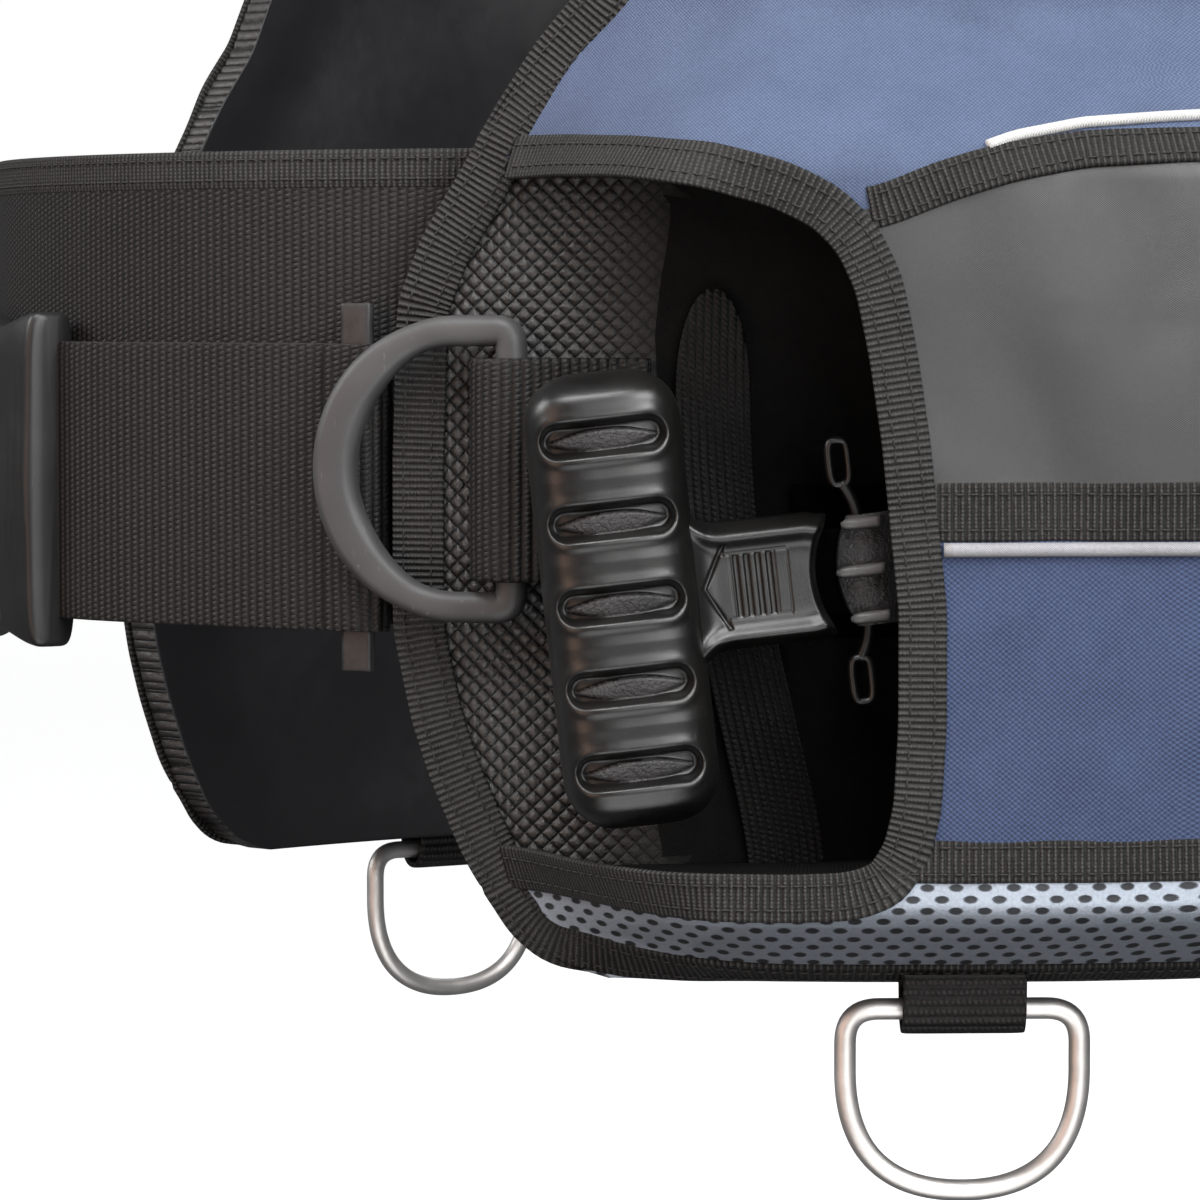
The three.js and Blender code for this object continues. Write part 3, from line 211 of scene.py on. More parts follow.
def lobe_skin(s, z):
    """The outer level with its cloth on: half sine waves puff it between the seams, crossed sines crease it,
    a bent fold runs over the pocket's rear corner and a dent stands in the grey panel."""
    edges = np.array([HEM_Z, *TAPE_HEIGHTS[::-1], LOBE_TOP_Z], float)
    puff = 0
    z_seam = np.where(z > -110, z - above_pocket(s) * ramp(-z, -20, 60), z)
    for low, high in zip(edges[:-1], edges[1:]):
        inside = np.clip((z_seam - low) / (high - low), 0, 1)
        puff = np.maximum(puff, np.sin(np.pi * inside) ** 0.6 * ((z_seam > low) & (z_seam < high)))
    long_creases = np.sin(s / 11 + 2.2 * np.sin(z_seam / 37) + 1) * np.sin(z_seam / 19 + 1.4 * np.sin(s / 29))
    short_creases = np.sin(s / 4.1 + 1.8 * np.sin(z_seam / 9.0)) * np.sin(z_seam / 13 + s / 23)
    crest = z + 66 - 13 * np.exp(-((s - 281) / 15) ** 2)
    fold = 1.7 * np.exp(-(crest / 3.4) ** 2) * np.exp(-((s - 279) / 24) ** 2)
    across = s - 271 - 0.25 * (z + 130)
    dent = 1.9 * np.exp(-(across / 8) ** 2) * np.exp(-((z + 132) / 20) ** 2)
    relief = 1.6 * puff + 0.5 * long_creases + 0.28 * short_creases - fold - dent
    return lobe_outer(s, z) - 0.8 + ramp(lobe_front(z) - s, 4, 40) * relief


# ---------- Making meshes ----------


def new_piece(name, shells, materials, weld=True):
    """An object made of shells. A shell is (points, uv[, face materials]): a grid of points, closed on itself
    across its columns, whose faces are its cells."""
    vertices, faces, uvs, kinds, base = [], [], [], [], 0
    for points, uv, *kind in shells:
        rows, cols = points.shape[:2]
        left = base + np.arange(rows * cols).reshape(rows, cols)
        right = np.roll(left, -1, 1)
        quads = np.stack([left[:-1], right[:-1], right[1:], left[1:]], -1).reshape(-1, 4)
        faces.append(quads)
        vertices.append(points.reshape(-1, 3) * MM)
        uvs.append(uv.reshape(-1, 2))
        kinds.append(kind[0].reshape(-1) if kind else np.zeros(len(quads), int))
        base += rows * cols
    vertices, faces, uvs = np.concatenate(vertices), np.concatenate(faces), np.concatenate(uvs)
    mesh = bpy.data.meshes.new(name)
    mesh.from_pydata(vertices.tolist(), [], faces.tolist())
    layer = mesh.uv_layers.new(name="cloth")
    layer.data.foreach_set("uv", uvs[faces.reshape(-1)].reshape(-1).astype(np.float32))
    for material in materials:
        mesh.materials.append(material)
    mesh.polygons.foreach_set("material_index", np.concatenate(kinds).astype(np.int32))
    if weld:
        work = bmesh.new()
        work.from_mesh(mesh)
        bmesh.ops.remove_doubles(work, verts=work.verts, dist=2e-6)
        bmesh.ops.dissolve_degenerate(work, edges=work.edges, dist=1e-6)
        bmesh.ops.recalc_face_normals(work, faces=work.faces)
        work.to_mesh(mesh)
        work.free()
    mesh.polygons.foreach_set("use_smooth", np.ones(len(mesh.polygons), bool))
    mesh.update()
    piece = bpy.data.objects.new(name, mesh)
    bpy.context.scene.collection.objects.link(piece)
    return piece


def mesh_piece(name, shells, materials, body, replaces=()):
    """A new piece that rides on a body and stands for the named nodes of the frame."""
    piece = new_piece(name, shells, materials)
    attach(piece, body)
    if replaces:
        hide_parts(*replaces)
    return piece


def flipped(shells, side):
    """The same shells on the wearer's right where side is -1."""
    return [(shell[0] * np.array([side, 1, 1]), *shell[1:]) for shell in shells]


def directions(points, closed=False):
    """Unit tangents along a run of points."""
    if closed:
        return unit(np.roll(points, -1, 0) - np.roll(points, 1, 0))
    return unit(np.gradient(points, axis=0))


def ring_profile(count, width, thick, corner=0.45):
    """A superellipse of the given width and thickness, as (across, out) pairs going round."""
    angle = around(count)
    return np.stack([blunt(np.cos(angle), corner) * width / 2, blunt(np.sin(angle), corner) * thick / 2], -1)


def capped(points, uv, *kind, tips=None):
    """A shell from a run of rings, closed at both ends by a row drawn together in one point: the tip that
    is given, or else the end ring's middle."""
    tips = tips or [points[i].mean(0) for i in (0, -1)]
    first, last = (np.broadcast_to(tip, (1, *points.shape[1:])) for tip in tips)
    return np.concatenate([first, points, last]), np.concatenate([uv[:1], uv, uv[-1:]]), *kind


def two_faced(face, back, uv):
    """A shell from an outer grid and a grid behind it that runs back the other way across its columns, with
    both end rows closed on the line halfway between the two."""
    ends = []
    for i in (0, -1):
        middle = 0.5 * (face[i] + back[i][::-1])
        ends.append(np.concatenate([middle, middle[::-1]])[None])
    points = np.concatenate([ends[0], np.concatenate([face, back], 1), ends[1]])
    return points, np.concatenate([uv[:1], uv, uv[-1:]])


def swept(points, out, profile, closed=False, scale=None):
    """A profile carried along a path, square to it. out is the way the profile's second number points, for
    the whole path or point by point, and scale widens the profile along the way."""
    points, out = np.asarray(points, float), np.broadcast_to(np.asarray(out, float), np.shape(points))
    ahead = directions(points, closed)
    out = unit(out - (out * ahead).sum(-1, keepdims=True) * ahead)
    side = np.cross(ahead, out)
    run = np.concatenate([[0], np.cumsum(np.linalg.norm(np.diff(points, axis=0), axis=1))])
    profile = np.broadcast_to(profile, (len(points), *profile.shape[-2:]))
    if scale is not None:
        profile = profile * np.asarray(scale)[..., None, :]
    shell = points[:, None] + side[:, None] * profile[..., :1] + out[:, None] * profile[..., 1:]
    uv = np.stack(np.broadcast_arrays(run[:, None], profile[..., 0]), -1)
    if closed:
        shell = np.concatenate([shell, shell[:1]])
        uv = np.concatenate([uv, uv[:1] + [[run[-1] + np.linalg.norm(points[0] - points[-1]), 0]]])
    else:
        tips = [np.repeat(points[i:i + 1, None], shell.shape[1], 1) for i in (0, len(points) - 1)]
        shell = np.concatenate([tips[0], shell, tips[1]])
        uv = np.concatenate([uv[:1], uv, uv[-1:]])
    return shell, uv


def lathed(profile, centre, axis, count=48, ripple=None):
    """A profile of (radius, height) pairs turned round an axis. Where there is a ripple, the profile's third
    number says how much of it, by angle, is added to the radius."""
    profile = np.asarray(profile, float)
    axis = unit(np.asarray(axis, float))
    first = unit(np.cross(axis, [0.3, 0.5, 0.81]))
    second = np.cross(axis, first)
    angle = around(count)
    spoke = first * np.cos(angle)[:, None] + second * np.sin(angle)[:, None]
    radius = profile[:, :1] + (0 if ripple is None else ripple(angle)[None] * (profile[:, 2:3]))
    shell = np.asarray(centre, float) + spoke[None] * radius[..., None] + axis * profile[:, 1][:, None, None]
    run = np.concatenate([[0], np.cumsum(np.linalg.norm(np.diff(profile[:, :2], axis=0), axis=1))])
    uv = np.stack(np.broadcast_arrays(run[:, None], angle[None] * profile[:, 0].max()), -1)
    return shell, uv


def softened(profile, times):
    """A polyline with its corners cut a few times, each time a quarter of the way along both sides."""
    points = np.asarray(profile, float)
    for _ in range(times):
        ahead = points[:-1] * 0.75 + points[1:] * 0.25
        behind = points[:-1] * 0.25 + points[1:] * 0.75
        middle = np.stack([ahead, behind], 1).reshape(-1, points.shape[1])
        points = np.concatenate([points[:1], middle, points[-1:]])
    return points


STITCH_PITCH, STITCH_LENGTH, THREAD_RADIUS, STITCH_LIFT = 3.0, 2.3, 0.21, 0.3


def stitches(points, out):
    """Thread along a path: spindles of six sides, each dipping into the cloth at both ends."""
    line = resampled(points, step=STITCH_PITCH / 2)
    share, known = np.linspace(0, 1, len(line)), np.linspace(0, 1, len(points))
    facing = unit(np.stack([np.interp(share, known, out[:, k]) for k in range(3)], -1))
    centre, out = line[1:-1:2], facing[1:-1:2]
    ahead = directions(line)[1:-1:2]
    side = np.cross(ahead, out)
    along = np.array([-0.5, -0.42, -0.2, 0.2, 0.42, 0.5])
    fat = np.array([0.0, 0.75, 1, 1, 0.75, 0]) * THREAD_RADIUS
    angle = around(6)
    place = along[:, None, None] * STITCH_LENGTH * ahead[:, None, None, :]
    ring = (np.cos(angle)[:, None] * side[:, None, None, :] * fat[:, None, None]
            + np.sin(angle)[:, None] * out[:, None, None, :] * fat[:, None, None])
    lift = (1 - (2 * along) ** 4) * STITCH_LIFT
    shells = centre[:, None, None] + place + ring + lift[:, None, None] * out[:, None, None]
    return [(shell, np.zeros((6, 6, 2))) for shell in shells]


# ---------- Materials ----------


class Value:
    """A number that varies over a surface, made of Math nodes."""

    def __init__(self, tree, socket):
        self.tree, self.socket = tree, socket

    def math(self, kind, *others):
        node = self.tree.nodes.new("ShaderNodeMath")
        node.operation = kind
        for place, item in zip(node.inputs, (self, *others)):
            if isinstance(item, Value):
                self.tree.links.new(item.socket, place)
            else:
                place.default_value = item
        return Value(self.tree, node.outputs[0])

    def __add__(self, other):
        return self.math("ADD", other)

    def __sub__(self, other):
        return self.math("SUBTRACT", other)

    def __mul__(self, other):
        return self.math("MULTIPLY", other)

    def __truediv__(self, other):
        return self.math("DIVIDE", other)

    def sin(self):
        return self.math("SINE")

    def fract(self):
        return self.math("FRACT")

    def floor(self):
        return self.math("FLOOR")

    def abs(self):
        return self.math("ABSOLUTE")

    def power(self, exponent):
        return self.math("POWER", exponent)


def surface_place(tree):
    """x and y of a surface point, in millimetres on its piece's own map."""
    coordinates = tree.nodes.new("ShaderNodeTexCoord")
    parts = tree.nodes.new("ShaderNodeSeparateXYZ")
    tree.links.new(coordinates.outputs["UV"], parts.inputs[0])
    return Value(tree, parts.outputs[0]), Value(tree, parts.outputs[1])


def noise(tree, size, detail=3.0, roughness=0.6, stretch=(1, 1, 1)):
    """Noise whose features are about size millimetres across, drawn out where stretch is below 1."""
    coordinates = tree.nodes.new("ShaderNodeTexCoord")
    mapping = tree.nodes.new("ShaderNodeMapping")
    mapping.inputs["Scale"].default_value = tuple(k / (size * MM) for k in stretch)
    tree.links.new(coordinates.outputs["Object"], mapping.inputs["Vector"])
    texture = tree.nodes.new("ShaderNodeTexNoise")
    texture.inputs["Scale"].default_value = 1.0
    texture.inputs["Detail"].default_value = detail
    texture.inputs["Roughness"].default_value = roughness
    tree.links.new(mapping.outputs["Vector"], texture.inputs["Vector"])
    return Value(tree, texture.outputs["Fac"])


def tone(tree, value, stops):
    """A colour for each level of a value: stops are (level, (r, g, b))."""
    node = tree.nodes.new("ShaderNodeValToRGB")
    while len(node.color_ramp.elements) < len(stops):
        node.color_ramp.elements.new(0.5)
    for element, (level, colour) in zip(node.color_ramp.elements, stops):
        element.position, element.color = level, (*colour, 1)
    tree.links.new(value.socket, node.inputs[0])
    return node.outputs[0]


def blended(tree, amount, first, second, kind="MIX"):
    """Two colours mixed by an amount."""
    node = tree.nodes.new("ShaderNodeMix")
    node.data_type, node.blend_type = "RGBA", kind
    for place, item in zip((node.inputs[0], node.inputs[6], node.inputs[7]), (amount, first, second)):
        if isinstance(item, Value):
            tree.links.new(item.socket, place)
        elif isinstance(item, bpy.types.NodeSocket):
            tree.links.new(item, place)
        else:
            place.default_value = item if isinstance(item, (int, float)) else (*item, 1)
    return node.outputs[2]


def finish(name, build, **constants):
    """A material: build(tree) gives its colour, its heights as (value, depth in mm) and its roughness."""
    material = bpy.data.materials.new(name)
    material.use_nodes = True
    tree = material.node_tree
    shader = tree.nodes["Principled BSDF"]
    for key, value in constants.items():
        shader.inputs[key.replace("_", " ")].default_value = value
    colour, heights, roughness = build(tree)
    tree.links.new(colour, shader.inputs["Base Color"])
    if roughness is not None:
        tree.links.new(roughness.socket, shader.inputs["Roughness"])
    previous = None
    for value, depth in heights:
        bump = tree.nodes.new("ShaderNodeBump")
        bump.inputs["Distance"].default_value = depth * MM
        tree.links.new(value.socket, bump.inputs["Height"])
        if previous:
            tree.links.new(previous, bump.inputs["Normal"])
        previous = bump.outputs[0]
    if previous:
        tree.links.new(previous, shader.inputs["Normal"])
    return material


def plain_weave(x, y, pitch):
    """Threads over and under: the product of two crossed sine waves, so that tops and gaps change places."""
    return ((x * (TAU / pitch)).sin() * (y * (TAU / pitch)).sin()) * 0.5 + 0.5


def twill(x, y, rib, stitch, lean=0.45):
    """Ribs of short leaning floats, each rib half a stitch on from the one before."""
    column = x / rib
    place = column.fract()
    along = (y / stitch + column.floor() * 0.5 + place * lean).fract()
    return (place * np.pi).sin().power(1.5) * ((along * np.pi).sin().power(0.8) * 0.5 + 0.5)


def grosgrain(x, y, pitch):
    """Rounded ribs straight across a tape, each a little broken by its warp."""
    ribs = (x * (np.pi / pitch)).sin().abs().power(2.0)
    return ribs * ((y * (TAU / 0.8)).sin() * 0.12 + 0.88)


def cloth_finish(name, pattern, dark, light, depth, roughness=0.85, size=14, vary=0.35, deep=None, waves=0.3,
                 **constants):
    """Woven cloth: thread tops lighter than the gaps, with painted shade in the gaps and mesh holes and a
    painted highlight on the thread tops, and with slow soiling and fading over the piece.
    deep is the stretch of s over which painted shade darkens the cloth's tone to near black and fades its
    threads and shine towards the back."""

    def build(tree):
        x, y = surface_place(tree)
        threads = pattern(x, y)
        # Painted shade and highlight: the colour runs from dark in the thread gaps and mesh holes to light on
        # the thread tops, by the weave's height.
        base = tone(tree, threads, [(0.1, dark), (0.9, light)])
        slow = noise(tree, size=size, detail=4)
        fleck = noise(tree, size=0.7, detail=2)
        worn = blended(tree, slow * vary, base, tuple(min(1, c * 1.9 + 0.01) for c in light))
        flecked = blended(tree, (fleck - 0.35) * 0.5, worn, tuple(c * 0.35 for c in dark))
        rough = noise(tree, size=5) * 0.25 + (roughness - 0.12)
        if deep:
            # Painted shade towards the pocket's back: over the stretch deep the tone is blended to near black
            # (0.0004) and the threads flattened.
            near = ((x - deep[0]) / (deep[1] - deep[0])).math("MAXIMUM", 0.02).math("MINIMUM", 1.0)
            flecked = blended(tree, near, (0.0004, 0.0004, 0.0004), flecked)
            threads = threads * near
            rough = rough - near * 0.5 + 0.5
        return flecked, [(threads, depth), (fleck, depth * 0.35), (slow, waves)], rough

    return finish(name, build, **constants)


HOLE_PITCH, HOLE_ROW, HOLE_HALF_WIDTH, HOLE_HALF_HEIGHT = 4.9, 2.4, 1.3, 0.85
LOZENGE = 3.6


def mesh_holes(x, y):
    """Knitted mesh: rows of oval holes, every other row half a pitch on. 0 in a hole and 1 between them."""
    row = (y / HOLE_ROW).floor()
    across = ((x / HOLE_PITCH + row * 0.5).fract() - 0.5).abs() * HOLE_PITCH
    up = ((y / HOLE_ROW).fract() - 0.5).abs() * HOLE_ROW
    hole = (across / HOLE_HALF_WIDTH).power(2.0) + (up / HOLE_HALF_HEIGHT).power(2.0)
    return hole.power(3.0).math("SMOOTH_MIN", 1.0, 0.2)


def basket(x, y):
    """Raised lozenges standing on their points: the product of one sine hump along each diagonal."""
    a = (x + y) / LOZENGE
    b = (x - y) / LOZENGE
    cell = (a.fract() * np.pi).sin() * (b.fract() * np.pi).sin()
    return cell.power(0.55)


def moulded_finish(name, dark, light, roughness=0.36, grain=0.30, depth=0.03, **constants):
    """Moulded plastic: spark-eroded grain, faint sink marks, scuffs and a greyed bloom."""

    def build(tree):
        speck = noise(tree, size=grain, detail=2, roughness=0.7)
        sink = noise(tree, size=22, detail=2)
        scuff = noise(tree, size=1.6, detail=5, roughness=0.75, stretch=(1, 1, 0.25))
        bloom = tone(tree, sink, [(0.35, dark), (0.7, light)])
        scratch = scuff.math("SUBTRACT", 0.63).math("MULTIPLY", 5.0)
        scratch = scratch.math("MAXIMUM", 0.0).math("MINIMUM", 0.35)
        colour = blended(tree, scratch, bloom, tuple(c * 3 + 0.02 for c in light))
        rough = speck * 0.16 + scuff * 0.14 + (roughness - 0.14)
        return colour, [(speck, depth), (sink, 0.25)], rough

    return finish(name, build, **constants)


def steel_build(tree):
    """Brushed steel: noise drawn out along one way, over slow changes of tone."""
    brushed = noise(tree, size=0.5, detail=4, stretch=(1, 1, 6))
    slow = noise(tree, size=6, detail=3)
    colour = tone(tree, slow, [(0.3, (0.72, 0.695, 0.67)), (0.75, (0.88, 0.855, 0.83))])
    return colour, [(brushed, 0.01)], brushed * 0.2 + 0.4


def rubber_build(tree):
    """Matt rubber with a fine grain and patches of dust."""
    speck = noise(tree, size=0.5, detail=3)
    dust = noise(tree, size=9, detail=5, roughness=0.7)
    colour = tone(tree, dust, [(0.35, (0.010, 0.010, 0.011)), (0.75, (0.030, 0.029, 0.028))])
    return colour, [(speck, 0.05), (dust, 0.1)], dust * 0.25 + 0.5


def clear_build(tree):
    """Clear plastic gone slightly grey and uneven."""
    slow = noise(tree, size=4, detail=3)
    colour = tone(tree, slow, [(0.3, (0.035, 0.036, 0.038)), (0.8, (0.085, 0.087, 0.09))])
    return colour, [(slow, 0.1)], slow * 0.2 + 0.35


def thread_finish(name, colour):
    """Sewing thread: noise as fine as its ply."""

    def build(tree):
        ply = noise(tree, size=0.35, detail=2)
        return tone(tree, ply, [(0.3, tuple(c * 0.6 for c in colour)), (0.8, colour)]), [(ply, 0.05)], None

    return finish(name, build, Roughness=0.7)


SHELL_BLUE = cloth_finish("shell_blue", lambda x, y: plain_weave(x, y, 0.75), (0.038, 0.050, 0.090),
                          (0.098, 0.130, 0.215), 0.10, 0.8, vary=0.22, Specular_IOR_Level=0.25)
COARSE_BLUE = cloth_finish("coarse_blue", lambda x, y: plain_weave(x, y, 1.1), (0.014, 0.021, 0.046),
                            (0.055, 0.078, 0.155), 0.16, 0.8, vary=0.25, Specular_IOR_Level=0.25)
COATED_GREY = cloth_finish("coated_grey", lambda x, y: plain_weave(x, y, 0.45), (0.020, 0.020, 0.021),
                           (0.040, 0.040, 0.042), 0.03, 0.42, vary=0.1, waves=0.1, size=40,
                           Specular_IOR_Level=0.5)
SATIN_GREY = cloth_finish("satin_grey", lambda x, y: plain_weave(x, y, 0.4), (0.007, 0.007, 0.008),
                          (0.018, 0.018, 0.020), 0.02, 0.42, vary=0.2, Specular_IOR_Level=0.4)
POCKET_MESH = cloth_finish("pocket_mesh", mesh_holes, (0.003, 0.003, 0.004), (0.34, 0.385, 0.45), 0.5, 0.8,
                           vary=0.08)
# Its deep stretch paints shade on the basket lining, darker towards the pocket's back.
BASKET_LINING = cloth_finish("basket_lining", basket, (0.001, 0.001, 0.001), (0.058, 0.057, 0.056), 0.9, 0.38,
                             vary=0.15, deep=(336, 359), Specular_IOR_Level=0.45)
# Near-black cloth: on the pouch as its own colour, and in the pocket's tunnel and on its rear lining as painted
# shade.
BLACK_CLOTH_AND_PAINTED_SHADE = cloth_finish("black_cloth_and_painted_shade", lambda x, y: plain_weave(x, y, 0.8), (0.001, 0.001, 0.001),
                            (0.006, 0.006, 0.006), 0.08, 0.8, vary=0.1, Specular_IOR_Level=0.12)
BELT_TWILL = cloth_finish("belt_twill", lambda x, y: twill(x, y, 2.1, 1.2), (0.0006, 0.0005, 0.0005),
                          (0.019, 0.0170, 0.0162), 0.42, 0.55, vary=0.12, Specular_IOR_Level=0.3)
WEBBING = cloth_finish("webbing", lambda x, y: twill(y, x, 2.0, 1.2), (0.002, 0.002, 0.002),
                       (0.026, 0.025, 0.024), 0.40, 0.6, vary=0.15, Specular_IOR_Level=0.3)
BINDING = cloth_finish("binding", lambda x, y: grosgrain(x, y, 1.35), (0.0008, 0.0008, 0.0008),
                       (0.046, 0.0448, 0.0435), 0.6, 0.62, vary=0.2, Specular_IOR_Level=0.3)
POCKET_TWILL = cloth_finish("pocket_twill", lambda x, y: twill(y, x, 1.7, 1.3), (0.0003, 0.0003, 0.0003),
                            (0.007, 0.0066, 0.0064), 0.42, 0.6, vary=0.1, Specular_IOR_Level=0.25)
PAD_CLOTH = cloth_finish("pad_cloth", lambda x, y: plain_weave(x, y, 0.9), (0.005, 0.005, 0.006),
                         (0.026, 0.026, 0.029), 0.14, 0.8, vary=0.2, Specular_IOR_Level=0.25)
PAD_MESH = cloth_finish("pad_mesh", mesh_holes, (0.004, 0.004, 0.004), (0.045, 0.045, 0.048), 0.5, 0.85,
                        vary=0.2)
PIPING_WHITE = cloth_finish("piping_white", lambda x, y: plain_weave(x, y, 0.6), (0.25, 0.25, 0.25),
                            (0.62, 0.62, 0.60), 0.06, 0.7)
PIPING_SILVER = cloth_finish("piping_silver", lambda x, y: plain_weave(x, y, 0.5), (0.12, 0.12, 0.128),
                             (0.30, 0.30, 0.315), 0.05, 0.5)
THREAD = thread_finish("thread", (0.022, 0.021, 0.020))
LATCH_PLASTIC = moulded_finish("latch_plastic", (0.0045, 0.0043, 0.0042), (0.009, 0.0085, 0.008), 0.33,
                               Specular_IOR_Level=0.6)
# Mid grey plastic: on the grip's slot lenses the grey of their rough grain, on the latch plate a painted sheen
# standing in for light reflected in its bowed face.
INSET_GRAIN_AND_SHEEN_PLASTIC = moulded_finish("inset_grain_and_sheen_plastic", (0.040, 0.039, 0.040), (0.070, 0.068, 0.070), 0.42, grain=1.0,
                               depth=0.5)
# The latch's rods are black plastic; their light grey is a painted highlight.
ROD_PAINTED_HIGHLIGHT_PLASTIC = moulded_finish("rod_plastic_painted_highlight", (0.12, 0.12, 0.12), (0.18, 0.18, 0.18), 0.3)
HARD_PLASTIC = moulded_finish("hard_plastic", (0.006, 0.006, 0.006), (0.013, 0.013, 0.013), 0.4)
# The belt ring is black plastic; its lighter grey is a painted sheen, standing in for a broad soft light
# reflected in its flat face.
RING_PAINTED_SHEEN_PLASTIC = moulded_finish("ring_plastic_painted_sheen", (0.046, 0.046, 0.047), (0.075, 0.075, 0.076), 0.5, grain=0.45)
# Near-black, almost matt plastic for the latch base and the tongue: painted shade deep in the pocket, where
# these parts show only as dark.
PAINTED_SHADE_PLASTIC = moulded_finish("painted_shade_plastic", (0.0006, 0.0006, 0.0006), (0.0014, 0.0014, 0.0014), 0.9,
                              Specular_IOR_Level=0.05)
BUTTON_PLASTIC = moulded_finish("button_plastic", (0.10, 0.10, 0.11), (0.15, 0.15, 0.16), 0.4)
STEEL = finish("steel", steel_build, Metallic=1.0)
RUBBER = finish("rubber", rubber_build)
CLEAR = finish("clear_plastic", clear_build, Transmission_Weight=0.55, IOR=1.49)

SIDES = (("left", 1), ("right", -1))
UP = np.array([0, 0, 1.0])

# ---------- The front lobes ----------

# The pocket's mouth, as (s, z) points from its front lower end round its rear side to its front upper end.
MOUTH = np.array([
    [375, -228.5], [363, -228.3], [340, -228.8], [312, -229], [302, -228.6], [296, -226.2], [292.6, -220],
    [290.8, -211], [290, -194], [290, -171], [291.6, -151.7], [293, -136.4], [295.2, -118.7], [297.6, -104.9],
    [301.2, -96], [306.5, -89.6], [314.5, -85], [326.6, -81.2], [341.6, -79.2], [357.6, -78.4], [374, -78.4],
])


def front_run(z0, z1, step=2.0):
    """The lobe's front edge between two heights, as (s, z) points."""
    z = np.linspace(z0, z1, int(abs(z1 - z0) / step) + 2)
    return np.stack([lobe_front(z), z], -1)


EDGE_LINE = np.concatenate([front_run(HEM_Z, -231), MOUTH, front_run(-76, LOBE_TOP_Z)])
EDGE = resampled(smoothed(resampled(EDGE_LINE, step=0.5), 5), step=2.4)
EDGE[0], EDGE[-1] = EDGE_LINE[0], EDGE_LINE[-1]


def nearest_row(point):
    """The row of the edge that comes closest to a point."""
    return int(np.argmin(np.linalg.norm(EDGE - point, axis=1)))


LIP_LOW, LIP_BACK_LOW, LIP_BACK_HIGH, LIP_HIGH = (
    nearest_row(p) for p in ((379, -230), (294.5, -221), (302, -95), (377, -78)))
POCKET_DEPTH, POCKET_ROOF, LINING_FRONT = 88, 58, 334
# Faces of kind 5 are near-black cloth, painted shade in the pocket's tunnel and on the lining behind
# LINING_FRONT.
SKIN, LINING_BASKET, LINING_PAINTED_SHADE, INSIDE = 0, 4, 5, 6


